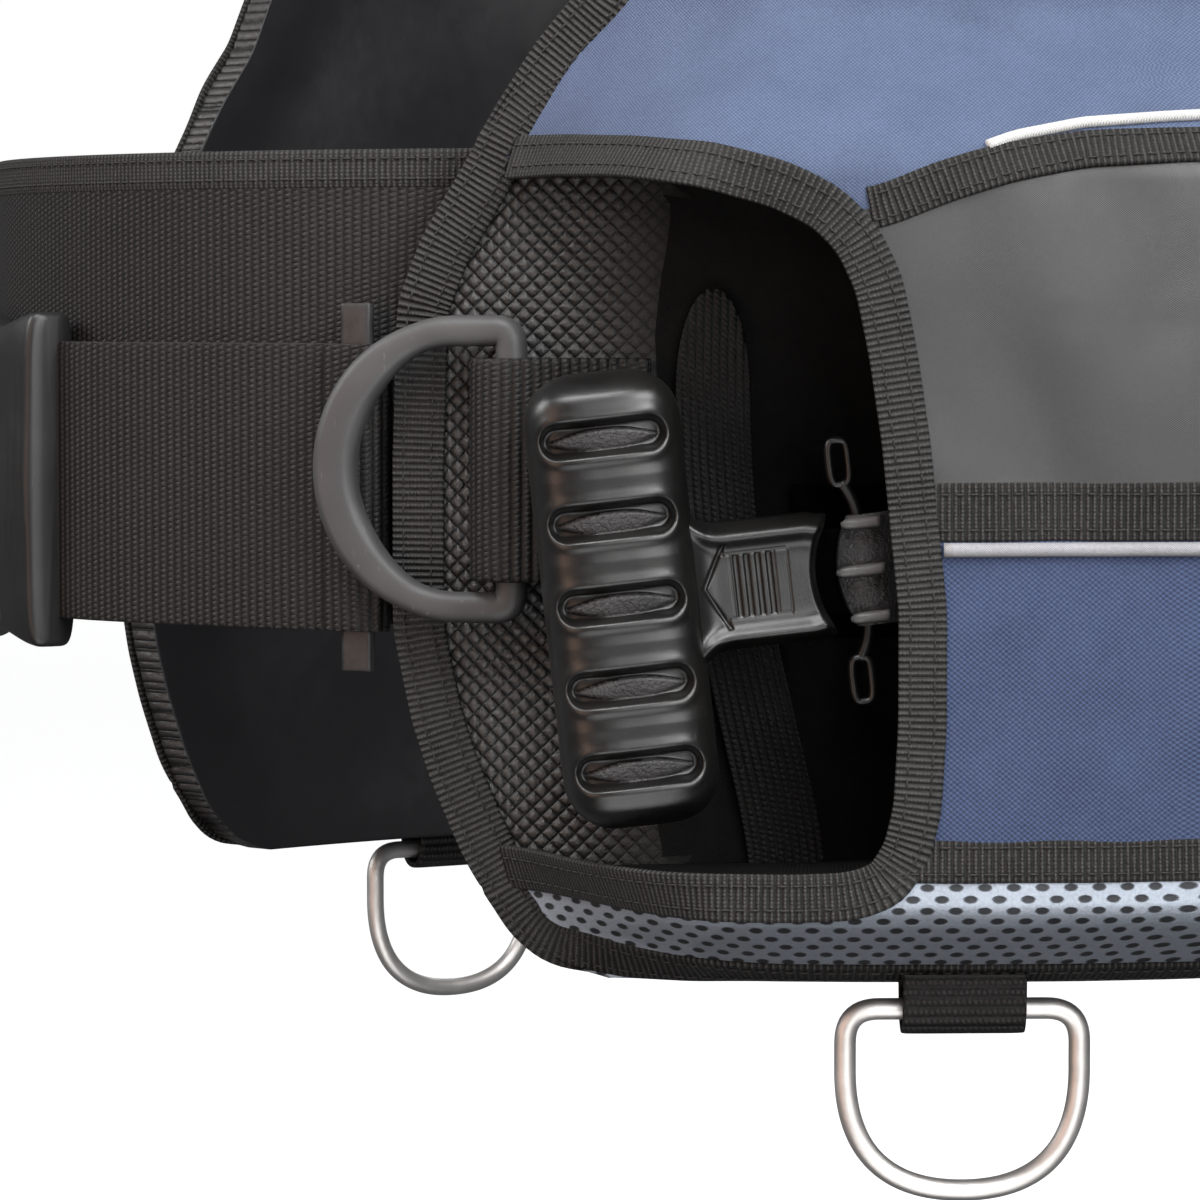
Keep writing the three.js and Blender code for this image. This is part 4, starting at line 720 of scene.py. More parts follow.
def lobe_shell():
    """A closed padded shell of straight strips between lines in (s, z), each at its own level. Every row goes
    round it: forwards over the skin, in through the pocket's mouth, back along the tunnel, forwards along the
    lining, round the front edge and back inside, where sine folds drape the cloth."""
    rows = len(EDGE)
    number = np.arange(rows)
    stops = [0, LIP_LOW, LIP_BACK_LOW, LIP_BACK_HIGH, LIP_HIGH, rows - 1]
    back_z = np.interp(number, stops, [HEM_Z, -240, -222, -98, -70, LOBE_TOP_Z])
    back = np.stack([lobe_back(back_z), back_z], -1)
    edge_z = np.interp(number, stops, [HEM_Z, -229.5, -228.5, -80, -78.5, LOBE_TOP_Z])
    inside = (number >= LIP_LOW) & (number <= LIP_HIGH)
    front = np.where(inside[:, None], np.stack([lobe_front(edge_z), edge_z], -1), EDGE)
    tunnel = [LIP_LOW + 6, LIP_BACK_LOW + 2, LIP_BACK_HIGH - 2, LIP_HIGH - 22]
    open_in = np.interp(number, tunnel, [0, 1, 1, 0])
    deep = EDGE + np.stack([-POCKET_DEPTH * open_in, 0.08 * POCKET_DEPTH * open_in], -1)
    outer_steps = 1 - (1 - np.linspace(0, 1, 66)) ** 1.25
    sz, level, kind = [], [], []

    def stretch(a, b, t, n0, n1, what):
        """Columns from a to b in (s, z), at levels that pass from n0 to n1."""
        t = np.asarray(t)
        sz.append(lerp(a[:, None], b[:, None], t[None, :, None]))
        level.append(lerp(n0[:, None], n1[:, None], t[None]))
        kind.extend([what] * len(t))

    lining, ground = np.full(rows, float(LOBE_BASE)), np.zeros(rows)
    wall = np.maximum(lobe_skin(*EDGE.T) - 2.2, lining)
    roof = np.where(open_in > 0, np.maximum(np.minimum(wall, POCKET_ROOF), lining), wall)
    stretch(back, EDGE, outer_steps, ground, ground, SKIN)
    level[0] = lobe_skin(sz[0][..., 0], sz[0][..., 1])
    # The tunnel's walls, roof and floor take near-black cloth: painted shade inside the pocket.
    stretch(EDGE, deep, [0.02, 0.06, 0.2, 0.4, 0.6, 0.8, 0.95], wall, roof, LINING_PAINTED_SHADE)
    stretch(deep, deep, np.linspace(0, 1, 6), roof, lining, LINING_PAINTED_SHADE)
    stretch(deep, EDGE, [0.25, 0.5, 0.75], lining, lining, LINING_PAINTED_SHADE)
    stretch(EDGE, front, np.linspace(0, 1, 14), lining, lining, LINING_BASKET)
    level[-1][:, -1] -= 1.2
    stretch(front, front, [0.5], lining, ground, LINING_BASKET)
    stretch(front, back, 1 - outer_steps[::-1], ground, ground, INSIDE)
    s, z = sz[-1][..., 0], sz[-1][..., 1]
    drape = np.sin(s / 13 + z / 31 + 1.6 * np.sin(z / 47)) * np.sin(z / 23 - s / 61)
    away = ramp(lobe_front(z) - s, 2, 30) * ramp(s - lobe_back(z), 2, 20) * ramp(z - HEM_Z, 2, 25)
    level[-1] += 0.35 + away * (1.4 + 1.3 * drape)
    sz, level = np.concatenate(sz, 1), np.concatenate(level, 1)
    halfway = 0.5 * (lobe_skin(sz[..., 0], sz[..., 1]) + 0.35)
    sz = np.concatenate([sz[:1], sz, sz[-1:]])
    level = np.concatenate([halfway[:1], level, halfway[-1:]])
    height = 0.5 * (sz[:-1, :, 1] + sz[1:, :, 1])
    seam = TAPE_HEIGHTS[0] + above_pocket(0.5 * (sz[:-1, :, 0] + sz[1:, :, 0]))
    panel = np.select([height > seam, height > TAPE_HEIGHTS[1], height > TAPE_HEIGHTS[2]], [0, 1, 2], 3)
    kinds = np.where(np.array(kind) == SKIN, panel, np.array(kind))
    # Basket lining behind LINING_FRONT is swapped for near-black cloth as painted shade.
    kinds = np.where((kinds == LINING_BASKET) & (sz[:-1, :, 0] < LINING_FRONT), LINING_PAINTED_SHADE, kinds)
    return over(sz[..., 0], sz[..., 1], level), sz, kinds


LOBE_MATERIALS = [SHELL_BLUE, COATED_GREY, COARSE_BLUE, POCKET_MESH, BASKET_LINING, BLACK_CLOTH_AND_PAINTED_SHADE, SATIN_GREY]
for side_name, side in SIDES:
    lobe = mesh_piece(f"{side_name}_lobe_skin", flipped([lobe_shell()], side), LOBE_MATERIALS, "vest",
                      [f"{side_name}_lobe"])

# ---------- Tapes, piping and stitching on the lobes ----------


TAPE_THICK, TAPE_START, FRONT_TAPE_IN = 1.5, REAR_CELL_HALF + 1.5, 5.4


def lie_on(sz, level, lift=0.0):
    """Points on a surface level(s, z) over the lining, with its normals from small steps."""
    s, z = sz.T
    at = over(s, z, level(s, z))
    along_s = over(s + 0.5, z, level(s + 0.5, z)) - over(s - 0.5, z, level(s - 0.5, z))
    along_z = over(s, z + 0.5, level(s, z + 0.5)) - over(s, z - 0.5, level(s, z - 0.5))
    normal = unit(np.cross(along_z, along_s))
    normal = normal * np.sign((normal * outward(s)).sum(-1, keepdims=True))
    return at + normal * lift, normal


def tape(sz, level, width, row, lift, step=1.5):
    """A flat tape along a line on a surface, with a row of stitches on both sides of its middle. row is the
    distance from the middle as a share of the width."""
    sz = resampled(smoothed(resampled(sz, step=0.5), 4), step=step)
    points, normal = lie_on(sz, level, lift)
    normal = unit(smoothed(normal, 3))
    across = np.cross(directions(points), normal)
    threads = []
    for sign in (-1, 1):
        threads += stitches(points + across * (sign * row * width) + normal * (TAPE_THICK / 2 - 0.1), normal)
    return swept(points, normal, ring_profile(18, width, TAPE_THICK, 0.32)), threads


def piping(sz, radius, lift):
    """A round cord sewn along a line on the skin."""
    points, normal = lie_on(resampled(sz, step=2), lobe_skin, lift)
    return swept(points, normal, ring_profile(10, 2 * radius, 2 * radius, 1))


def front_level(s, z):
    """The front edge's level: the lining's beside the pocket's mouth, and the skin's above and below it."""
    return np.where((z > -231) & (z < -77), LOBE_BASE, np.maximum(lobe_skin(s, z), LOBE_BASE))


TOP_SEAM, MIDDLE_SEAM, LOW_SEAM = TAPE_HEIGHTS
hem_line = [[TAPE_START, -248.6], [200, -248.6], [300, -248.6], [335, -248.4], [349, -247]]
front_line = np.concatenate([front_run(-244, -60), front_run(-58, 58)]) - [FRONT_TAPE_IN, 0]
mouth_line = np.concatenate([[[373, -228.4]], MOUTH[1:-1], [[371.5, -78.4]]])
seam_s = np.linspace(TAPE_START, 300, 60)
tapes, threads = [], []
for line, level, width, row, lift in (
    (np.concatenate([hem_line, front_line]), front_level, 11.5, 0.27, 0.5),
    (mouth_line, lobe_skin, 9.8, 0.25, 0.2),
    (np.stack([seam_s, TOP_SEAM + above_pocket(seam_s)], -1), lobe_skin, 8.6, 0.3, 0.3),
    (np.array([[TAPE_START, MIDDLE_SEAM], [291, MIDDLE_SEAM]]), lobe_skin, 12, 0.3, 0.3),
    (np.array([[TAPE_START, LOW_SEAM], [296, LOW_SEAM]]), lobe_skin, 9, 0.3, 0.3),
):
    made, sewn = tape(line, level, width, row, lift)
    tapes.append(made)
    threads += sewn

white_line = [[279, -77.6], [274, -75.6], [262, -72.9], [235, -70.6], [200, -69.4], [121, -67.8]]
silver_line = [[TAPE_START, MIDDLE_SEAM - 7.6], [286.5, MIDDLE_SEAM - 7.6]]
for side_name, side in SIDES:
    for name, shells, material, slot in (
        ("lobe_binding", tapes, BINDING, "webbing"),
        ("lobe_thread", threads, THREAD, "webbing"),
        ("white_piping", [piping(white_line, 1.2, 0.6)], PIPING_WHITE, "shell_fabric"),
        ("silver_piping", [piping(silver_line, 1.5, 0.5)], PIPING_SILVER, "shell_fabric"),
    ):
        mesh_piece(f"{side_name}_{name}", flipped(shells, side), [material], "vest")



def facing(s):
    """The outward and the forward direction over the lining at distance s."""
    heading = plan(s)[2]
    return np.array([np.sin(heading), np.cos(heading), 0]), np.array([np.cos(heading), -np.sin(heading), 0])


def placer(origin, first, second, third):
    """A function that puts x, y, z in a leaning frame: the origin plus each number along its own axis."""

    def place(x, y, z=0.0):
        x, y, z = np.broadcast_arrays(x, y, z)
        return origin + x[..., None] * first + y[..., None] * second + z[..., None] * third

    return place


# ---------- The weight pouch and its pull handle ----------

PULL_S, PULL_LEAN, LATCH_S, LATCH_Z = 275, np.radians(6.4), 308, -161
GRIP_LENGTH, GRIP_WIDTH, GRIP_CORNER, GRIP_LOW, GRIP_HIGH = 94, 32, 11, 20, 47
GRIP_END, GRIP_SQUARE = 8.5, 0.50
STEM_LENGTH, STEM_WIDTH, STEM_LOW, STEM_HIGH, STEM_DISH = 28.4, 26, 22, 40, 4
STEM_INTO_GRIP, GRIP_MIDDLE = 2.4, STEM_LENGTH + GRIP_WIDTH / 2
LATCH_BACK, LATCH_LOW, LATCH_THICK = -14.2, 27.35, 3.4
SLOT_PITCH, SLOTS, LENS_HALF = 17, range(-2, 3), 11.6


# The handle's frame: x forwards along the pull, y down and z outwards.
PULL_OUT, level_ahead = facing(PULL_S)
PULL_AHEAD = level_ahead * np.cos(PULL_LEAN) - [0, 0, np.sin(PULL_LEAN)]
pull = placer(over(PULL_S, LATCH_Z, 0) + PULL_AHEAD * (LATCH_S - PULL_S), PULL_AHEAD,
              np.cross(PULL_OUT, PULL_AHEAD), PULL_OUT)


def slot_shape(x, y):
    """How far a grip's face sinks or swells at x, y: five rounded slots, each a smooth step by its distance
    from a straight line, with a bell-shaped lip and a lens of parabolas inside."""
    sink = 0 * x
    for k in SLOTS:
        along, across = x - 0.7, (y - k * SLOT_PITCH) - 0.25
        reach = np.abs(along) - 9.4
        inside = np.where(reach > 0, np.hypot(reach, across), np.abs(across))
        trench = 1 - ramp(inside, 2.3, 3.9)
        taper = np.clip(1 - (along / LENS_HALF) ** 2, 0, 1)
        lens = ramp(2.35 * taper - np.abs(across - 0.45), -0.05, 0.5) * (taper > 0)
        lip = np.exp(-((inside - 4.5) / 1.1) ** 2)
        sink = sink - 3.9 * trench + (1.7 - 0.5 * across) * lens * trench + 0.45 * lip
    pillow = np.abs(np.cos(np.pi * np.clip(y / SLOT_PITCH, -2.9, 2.9)))
    return sink + 0.45 * (1 - pillow)


def grip_shell(rows=300, cols=180):
    """A fat rounded bar: superellipse sections along y, drawn in at both ends, with the slots in its face."""
    y = np.sin(np.linspace(-np.pi / 2, np.pi / 2, rows)) * 0.12 + np.linspace(-1, 1, rows) * 0.88
    y = y * GRIP_LENGTH / 2
    from_end = GRIP_LENGTH / 2 - np.abs(y)
    half = GRIP_WIDTH / 2 - GRIP_CORNER * (1 - dome(1 - from_end / GRIP_CORNER, 2.2))
    deep = (GRIP_HIGH - GRIP_LOW) / 2 * dome(1 - from_end / GRIP_END, 2.4)
    angle = around(cols)
    across, up = blunt(np.cos(angle), GRIP_SQUARE), blunt(np.sin(angle), GRIP_SQUARE)
    x = half[:, None] * across[None]
    z = (GRIP_HIGH + GRIP_LOW) / 2 + deep[:, None] * up[None]
    face = ramp(up[None], 0.55, 0.95)
    y = y[:, None] + 0 * x
    crown = -1.6 * (np.abs(x) / (GRIP_WIDTH / 2)) ** 2.5 * (up[None] > 0)
    z = z + face * slot_shape(x, y) * ramp(half[:, None], 3, 12) + crown
    kinds = np.zeros((rows + 1, cols), int)
    for k in SLOTS:
        along, across = x[:-1] - 0.7, 0.5 * (y[:-1] + y[1:]) - k * SLOT_PITCH - 0.7
        inside = np.abs(across) < 2.2 * (1 - (along / LENS_HALF) ** 2)
        kinds[1:-1] = np.where(inside & (face > 0.5), 1, kinds[1:-1])
    tips = [pull(GRIP_MIDDLE, y[i, 0], (GRIP_HIGH + GRIP_LOW) / 2) for i in (0, -1)]
    return capped(pull(GRIP_MIDDLE + x, y, z), np.stack([x + z, y], -1), kinds, tips=tips)


def stem_half(x):
    """Half the stem's width, read between stations: drawn in a little at its back end, with a quarter
    circle's flare at the grip."""
    at = np.linspace(0, STEM_LENGTH + STEM_INTO_GRIP, 80)
    flare = 7 * (1 - dome((at - STEM_LENGTH + 6.5) / 9))
    return np.interp(x, at, STEM_WIDTH / 2 + flare - 0.6 * (1 - ramp(at, 0, 5)))


def arrow_mark(x, y):
    """A sunk arrow head that points forwards, with four bars and a thin frame behind it."""
    lean = np.abs(y + 0.2)
    head = np.abs(x - (27.6 - lean * 0.54))
    depth = 0.75 * (1 - ramp(head, 0.25, 0.65)) * (lean < 8.8)
    for bar in (20.6, 18.3, 16.0, 13.7):
        depth = np.maximum(depth, 0.7 * (1 - ramp(np.abs(x - bar), 0.35, 0.7)) * (lean < 6.4))
    for edge in (21.7, 12.6, 9.9):
        depth = np.maximum(depth, 0.16 * (1 - ramp(np.abs(x - edge), 0.1, 0.3)) * (lean < 6.6))
    barb = (np.abs(x - 23.2) < 0.3) & (lean > 6.3) & (lean < 8.8)
    rim = (np.abs(lean - 6.6) < 0.3) & (x > 9.9) & (x < 23.4)
    return np.maximum(depth, np.maximum(0.16 * rim, 0.4 * barb))


def stem_shell(rows=150, cols=120):
    """A plate whose long edges rise as round ridges and whose back end is dished, with its mark sunk in."""
    v = np.linspace(-1, 1, cols)
    from_back = np.linspace(0, STEM_LENGTH + STEM_INTO_GRIP, rows)[:, None]
    half = stem_half(from_back)
    y = half * np.sign(v)[None] * (1 - (1 - np.abs(v)[None]) ** 1.15)
    dish = STEM_DISH * np.clip(1 - (y / (STEM_WIDTH / 2)) ** 2, 0, 1)
    x = from_back + dish * (1 - ramp(from_back, 0, 20))
    from_edge = half - np.abs(y)
    ridge = 2.1 * np.exp(-((from_edge - 2.6) / 2.1) ** 2) * (1 - ramp(x, STEM_LENGTH - 2, STEM_LENGTH + 3))
    roll = 5.0 * (1 - dome(1 - from_edge / 3.2))
    chamfer = 4.5 * (1 - dome(1 - from_back / 2.2))
    fillet = 2.6 * ramp(x, STEM_LENGTH - 4.5, STEM_LENGTH + 3) ** 1.6
    top = STEM_HIGH + ridge - roll - chamfer + fillet - 1.2 - arrow_mark(x, y)
    under = pull(x, y, STEM_LOW + 0.4)[:, ::-1]
    uv = np.stack([x, y], -1)
    return two_faced(pull(x, y, top), under, np.concatenate([uv, uv[:, ::-1]], 1))


def tongue_shell():
    """The flat tongue that runs back from the stem to the pouch."""
    x = np.linspace(LATCH_BACK, 8, 12)
    return swept(pull(x, 0, 24.5), PULL_OUT, ring_profile(20, 18, 4.6, 0.3))


def ejector_marks():
    """Two shallow round marks, each a ring a hair proud of the grip's face."""
    profile = [(2.0, -0.6), (2.0, 0.09), (2.12, 0.13), (2.3, 0.09), (2.3, -0.6)]
    return [lathed(profile, pull(GRIP_MIDDLE + 2.5, y, 46.2 - 2.35), PULL_OUT, 28) for y in (-41.8, 41.8)]


def made_of(shell, kind):
    """A shell whose faces all take one of its piece's materials, by number."""
    return *shell, np.full((shell[0].shape[0] - 1, shell[0].shape[1]), kind)


def latch_shells():
    """The spring latch: a plate with a parabola for its front, three round rods and two arms that end in
    long loops, each loop a superellipse."""
    half = np.linspace(-1, 1, 40)
    front, back = -3.9 + 3.2 * (1 - half ** 2), 0 * half + LATCH_BACK
    x = np.stack([back, front - 0.5, front, front - 0.5, back], 1)
    middle = LATCH_LOW + LATCH_THICK / 2
    z = np.array([LATCH_LOW + LATCH_THICK, LATCH_LOW + LATCH_THICK, middle, LATCH_LOW, LATCH_LOW])
    # The plate takes the mid grey plastic as a painted sheen.
    shells = [made_of(capped(pull(x, half[:, None] * 11.5, z), np.zeros((40, 5, 2))), 2)]
    fat = np.array([1] * 7 + [0.95, 0.8, 0.4])
    for y, end in ((-9.8, -2.4), (0, -0.4), (9.8, -2.4)):
        line = pull(np.linspace(-10.5, end, 10), y, LATCH_LOW + 4.5)
        rod = swept(line, PULL_OUT, ring_profile(14, 2.5, 2.5, 1), scale=np.stack([fat, fat], -1))
        # The rods take the light grey that is their painted highlight.
        shells.append(made_of(rod, 1))
    for sign in (-1, 1):
        angle = around(40)
        x = -3.6 + 2.0 * blunt(np.cos(angle), 0.55)
        y = sign * 22.6 + 4.6 * blunt(np.sin(angle), 0.55)
        shells.append(swept(pull(x, y, middle), PULL_OUT, ring_profile(12, 1.7, 3.2, 0.7), closed=True))
        y = np.linspace(sign * 9.5, sign * 18.6, 12)
        x = np.linspace(-6.2, -3.6, 12) - 0.8 * np.sin(np.linspace(0, np.pi, 12))
        shells.append(swept(pull(x, y, middle), PULL_OUT, ring_profile(12, 2.4, 3.2, 0.6)))
    return shells


POUCH_LENGTH, POUCH_HALF, POUCH_LOW, POUCH_HIGH = 84.6, 50.8, 15, 49


def pouch_shell(rows=60, cols=90):
    """A slack pillow of cloth: superellipse sections along the pull, with drawn-in sides, rounded ends and
    crossed sine creases."""
    t = np.linspace(0, 1, rows)[:, None]
    x = -14.6 - POUCH_LENGTH * t
    draw = dome(1 - np.minimum(t, 1 - t) * POUCH_LENGTH / 9, 2.2)
    angle = around(cols)
    across, up = blunt(np.cos(angle), 0.42)[None], blunt(np.sin(angle), 0.8)[None]
    high = POUCH_HIGH - 14 * ramp(-x, 62, 104.2)
    y = POUCH_HALF * across * (0.93 + 0.07 * draw)
    middle, half = (high + POUCH_LOW) / 2, (high - POUCH_LOW) / 2 - 0.4
    crease = 0.6 * np.sin(y / 7 + x / 11) * np.sin(x / 9)
    z = middle + (half * draw) * up * (1 - 0.2 * np.abs(across) ** 3) + crease * 0.5
    return capped(pull(x, y, z), np.stack([x + 0 * y, y + z], -1))


for side_name, side in SIDES:
    body = f"{side_name}_pouch"
    # The tongue takes the near-black plastic that is painted shade.
    handle = [grip_shell(), stem_shell(), made_of(tongue_shell(), 2), *ejector_marks()]
    mesh_piece(f"{side_name}_pull_handle", flipped(handle, side), [LATCH_PLASTIC, INSET_GRAIN_AND_SHEEN_PLASTIC, PAINTED_SHADE_PLASTIC],
               body, [f"{side_name}_weight_handle"])
    mesh_piece(f"{side_name}_spring_latch", flipped(latch_shells(), side),
               [LATCH_PLASTIC, ROD_PAINTED_HIGHLIGHT_PLASTIC, INSET_GRAIN_AND_SHEEN_PLASTIC], body, [f"{side_name}_latch_plate"])
    pouch = mesh_piece(f"{side_name}_pouch_cloth", flipped([pouch_shell()], side), [BLACK_CLOTH_AND_PAINTED_SHADE], body,
                       [f"{side_name}_weight_pouch"])

# ---------- The belt ring ----------

RING_S, RING_Z, RING_RISE, RING_WIDTH, RING_DEPTH, RING_BAR, RING_BOW = 370, -144, 16, 65, 44, 6.6, 9.5


# The ring's frame: x forwards from the bar, y down and z outwards.
RING_OUT, ring_ahead = facing(RING_S + 14)
in_ring = placer(over(RING_S, RING_Z, RING_RISE), ring_ahead, np.cross(RING_OUT, ring_ahead), RING_OUT)


def bezier(points, count):
    """A Bezier curve of any order, by repeated halving of its control polygon's steps."""
    t = np.linspace(0, 1, count)[:, None]
    level = [np.asarray(p, float)[None] for p in points]
    while len(level) > 1:
        level = [a * (1 - t) + b * t for a, b in zip(level[:-1], level[1:])]
    return level[0]


def belt_ring_shell():
    """A closed D: the middle line of bar, legs and bow, carrying a superellipse that widens and flattens
    at the bow."""
    half = (RING_WIDTH - RING_BAR) / 2
    mid = RING_DEPTH - RING_BOW / 2
    leg = bezier([(3, -half), (10, -half), (12, -half)], 12)
    bow = bezier([(12, -half), (27, -half), (mid, -15), (mid, 0)], 40)
    line = np.concatenate([leg[:-1], bow])
    line = np.concatenate([line, (line * [1, -1])[::-1][1:]])
    corner = bezier([(3, half), (0, half), (0, half - 3.4)], 10)
    line = np.concatenate([line, corner[1:], [[0, half * 0.4], [0, 0]], [[0, -half * 0.4]],
                           (corner * [1, -1])[::-1][:-1]])
    line = resampled(np.concatenate([line, line[:1]]), step=0.7)[:-1]
    bowed = ramp(line[:, 0], 20, 37)
    width = lerp(RING_BAR, RING_BOW - 0.2, bowed)
    corner_power = lerp(0.85, 0.42, bowed)[:, None]
    angle = around(28)
    profile = np.stack([blunt(np.cos(angle), corner_power) * width[:, None] / 2,
                        blunt(np.sin(angle), corner_power) * (RING_BAR / 2 - 0.05)], -1)
    bevel = 0.9 * bowed[:, None] * ramp(np.abs(profile[..., 0]), 2.4, 4.6)
    profile[..., 1] -= bevel * (profile[..., 1] > 0)
    return swept(in_ring(*line.T), RING_OUT, profile, closed=True)


def ring_tab_shell():
    """A loop of webbing sewn to the pocket's lining, opened into an eye round the ring's bar."""
    loop = [(341.5, 13.0), (348, 13.4), (355, 16.5), (361, 20.2), (366, 22.6), (371, 23.6), (376, 21.0),
            (378.3, 16.0), (376, 11.5), (371, 10.2), (364, 10.8), (356, 10.6), (341.5, 10.7)]
    s, n = smoothed(resampled(loop, step=0.6), 3).T
    points = over(s, RING_Z, n)
    width = RING_WIDTH - 2 * (RING_BAR + 2.4)
    return swept(points, np.cross(UP, directions(points)), ring_profile(22, width, 1.7, 0.25))


for side_name, side in SIDES:
    # The ring's grey is painted sheen.
    mesh_piece(f"{side_name}_waist_ring", flipped([belt_ring_shell()], side), [RING_PAINTED_SHEEN_PLASTIC],
               f"{side_name}_belt_ring", [f"{side_name}_belt_ring"])
    mesh_piece(f"{side_name}_ring_loop", flipped([ring_tab_shell()], side), [BELT_TWILL], "vest",
               [f"{side_name}_ring_tab"])

# ---------- The waist belt ----------

CUMMERBUND_WIDTH, CUMMERBUND_Z, BELT_WEB_WIDTH, BELT_WEB_Z = 102, -127, 62, -148.5
STAY_S = FRONT_EDGE + 10


def wall_strip(s, level, z, width, thick, corner=0.22, count=40):
    """A strap standing on edge round the waist: its section is flat, with a rounded top and bottom."""
    return swept(over(s, z, level), outward(s), ring_profile(count, width, thick, corner))


def belt_rise(s):
    """How far the belt stands out to pass over the buckle's halves in front."""
    return 3.2 * ramp(s, CENTRE_FRONT - 90, CENTRE_FRONT - 48)


def cummerbund_pieces(side_name, side, level):
    """The wide elastic wrap with a bound edge above and below."""
    s = np.arange(290, CENTRE_FRONT + 34, 2.5)
    run = level(s)
    wrap = wall_strip(s, run - 1.25, CUMMERBUND_Z, CUMMERBUND_WIDTH - 1.2, 2.3, 0.16, 60)
    mesh_piece(f"{side_name}_wrap", flipped([wrap], side), [BELT_TWILL], "vest",
               [f"{side_name}_cummerbund"])
    edges, sewn = [], []
    for edge_z in (CUMMERBUND_Z - CUMMERBUND_WIDTH / 2 + 4.1, CUMMERBUND_Z + CUMMERBUND_WIDTH / 2 - 4.1):
        edges.append(wall_strip(s, run - 1.25, edge_z, 8.4, 2.85, 0.3, 20))
        for row in (-2.2, 2.2):
            sewn += stitches(over(s, edge_z + row, run + 0.1), outward(s))
    mesh_piece(f"{side_name}_wrap_binding", flipped(edges, side), [BINDING], "vest")
    mesh_piece(f"{side_name}_wrap_thread", flipped(sewn, side), [THREAD], "vest")


def strap_pieces(side_name, side):
    """The belt webbing, folded back round its stay at the outer end."""
    s = np.arange(FRONT_EDGE + 4.5, CENTRE_FRONT - 26, 1.5)
    low = -0.2 + belt_rise(s) + 1.25
    strap = wall_strip(s, low, BELT_WEB_Z, BELT_WEB_WIDTH, 2.4, 0.14, 60)
    fold = np.array([(STAY_S + 7, 5.9), (STAY_S + 3, 6.6), (STAY_S - 1, 6.75), (STAY_S - 5, 5.4),
                     (STAY_S - 6.2, 3.2), (STAY_S - 5.6, 1.4), (STAY_S - 3, 0.6)])
    fold_s, fold_level = smoothed(resampled(fold, step=0.5), 3).T
    points = over(fold_s, BELT_WEB_Z, fold_level)
    folded = swept(points, np.cross(directions(points), UP), ring_profile(50, BELT_WEB_WIDTH - 0.4, 2.0, 0.14))
    mesh_piece(f"{side_name}_belt_webbing", flipped([strap, folded], side), [BELT_TWILL], "vest",
               [f"{side_name}_waist_strap"])
    stay = wall_strip(np.linspace(STAY_S - 3.2, STAY_S + 3.2, 10), 4.15, BELT_WEB_Z, 79, 2.7, 0.1)
    mesh_piece(f"{side_name}_stay_bar", flipped([stay], side), [CLEAR], "vest",
               [f"{side_name}_belt_stay"])


cummerbund_pieces("left", 1, lambda s: 0 * s - 0.7)
cummerbund_pieces("right", -1, lambda s: -0.7 - 3.2 * ramp(s, FRONT_EDGE + 20, FRONT_EDGE + 75))
for side_name, side in SIDES:
    strap_pieces(side_name, side)


STRAP_LINE = np.array([(313.5, -225), (318.4, -205), (322, -188), (326.4, -168), (328.8, -150), (329.8, -118),
                       (329, -106)])


def pocket_strap_shell():
    """Webbing down the inside of the pocket, lifted between its ends by a squared sine, its top rounded."""
    v = np.linspace(0, 1, 60)
    z = lerp(-229.5, -106, v)
    s = smoothed(np.interp(z, *STRAP_LINE.T[::-1]), 5)
    level = LOBE_BASE + 1.6 + 2 * np.sin(np.pi * v) ** 2
    wide = np.sqrt(np.clip(1 - np.clip((z + 132) / 26.4, 0, 1) ** 2.4, 0.012, 1))
    return swept(over(s, z, level), outward(s), ring_profile(26, 16, 2.1, 0.2),
                 scale=np.stack([wide, 1 + 0 * wide], -1))


for side_name, side in SIDES:
    mesh_piece(f"{side_name}_pocket_webbing", flipped([pocket_strap_shell()], side), [POCKET_TWILL], "vest",
               [f"{side_name}_pocket_strap"])

# ---------- The steel rings under the hem ----------

STEEL_S, STEEL_OUT, STEEL_WIRE, STEEL_WIDTH, STEEL_DROP = 279, 17, 4.6, 54, 41
STEEL_BAR_Z = HEM_Z - 0.35 - 4.5
# The ring's frame: x forwards along the bar, y outwards and z up.
STEEL_FACE, STEEL_AHEAD = facing(STEEL_S)
in_steel = placer(over(STEEL_S, STEEL_BAR_Z, STEEL_OUT), STEEL_AHEAD, STEEL_FACE, UP)


def steel_ring_shell():
    """Bent wire in a closed D: a straight bar with round corners, short legs and a round bow below."""
    half, drop = (STEEL_WIDTH - STEEL_WIRE) / 2, STEEL_DROP - 2.6
    right = np.concatenate([
        bezier([(half - 7, 0), (half, 0), (half, 7)], 14), bezier([(half, 7), (half, 10), (half, 13)], 6)[1:],
        bezier([(half, 13), (half, drop * 0.80), (half * 0.62, drop), (0, drop)], 40)[1:]])
    line = np.concatenate([right, (right * [-1, 1])[::-1][1:]])
    line = resampled(np.concatenate([line, line[:1]]), step=0.9)[:-1]
    wire = ring_profile(18, STEEL_WIRE, STEEL_WIRE, 1)
    return swept(in_steel(line[:, 0], 0, -line[:, 1]), STEEL_FACE, wire, closed=True)


def hem_loop_shell():
    """A folded webbing tab under the hem, closed round the ring's bar."""
    loop = [(-5.6, 8.6), (-5.4, 4), (-4.9, 1), (-4.4, -2), (-1.8, -4.5), (1.8, -4.5), (4.4, -2), (4.9, 1),
            (5.4, 4), (5.6, 8.6)]
    y, z = smoothed(resampled(loop, step=0.5), 3).T
    points = in_steel(0, y, z)
    return swept(points, np.cross(directions(points), STEEL_AHEAD), ring_profile(26, 26, 1.7, 0.2))


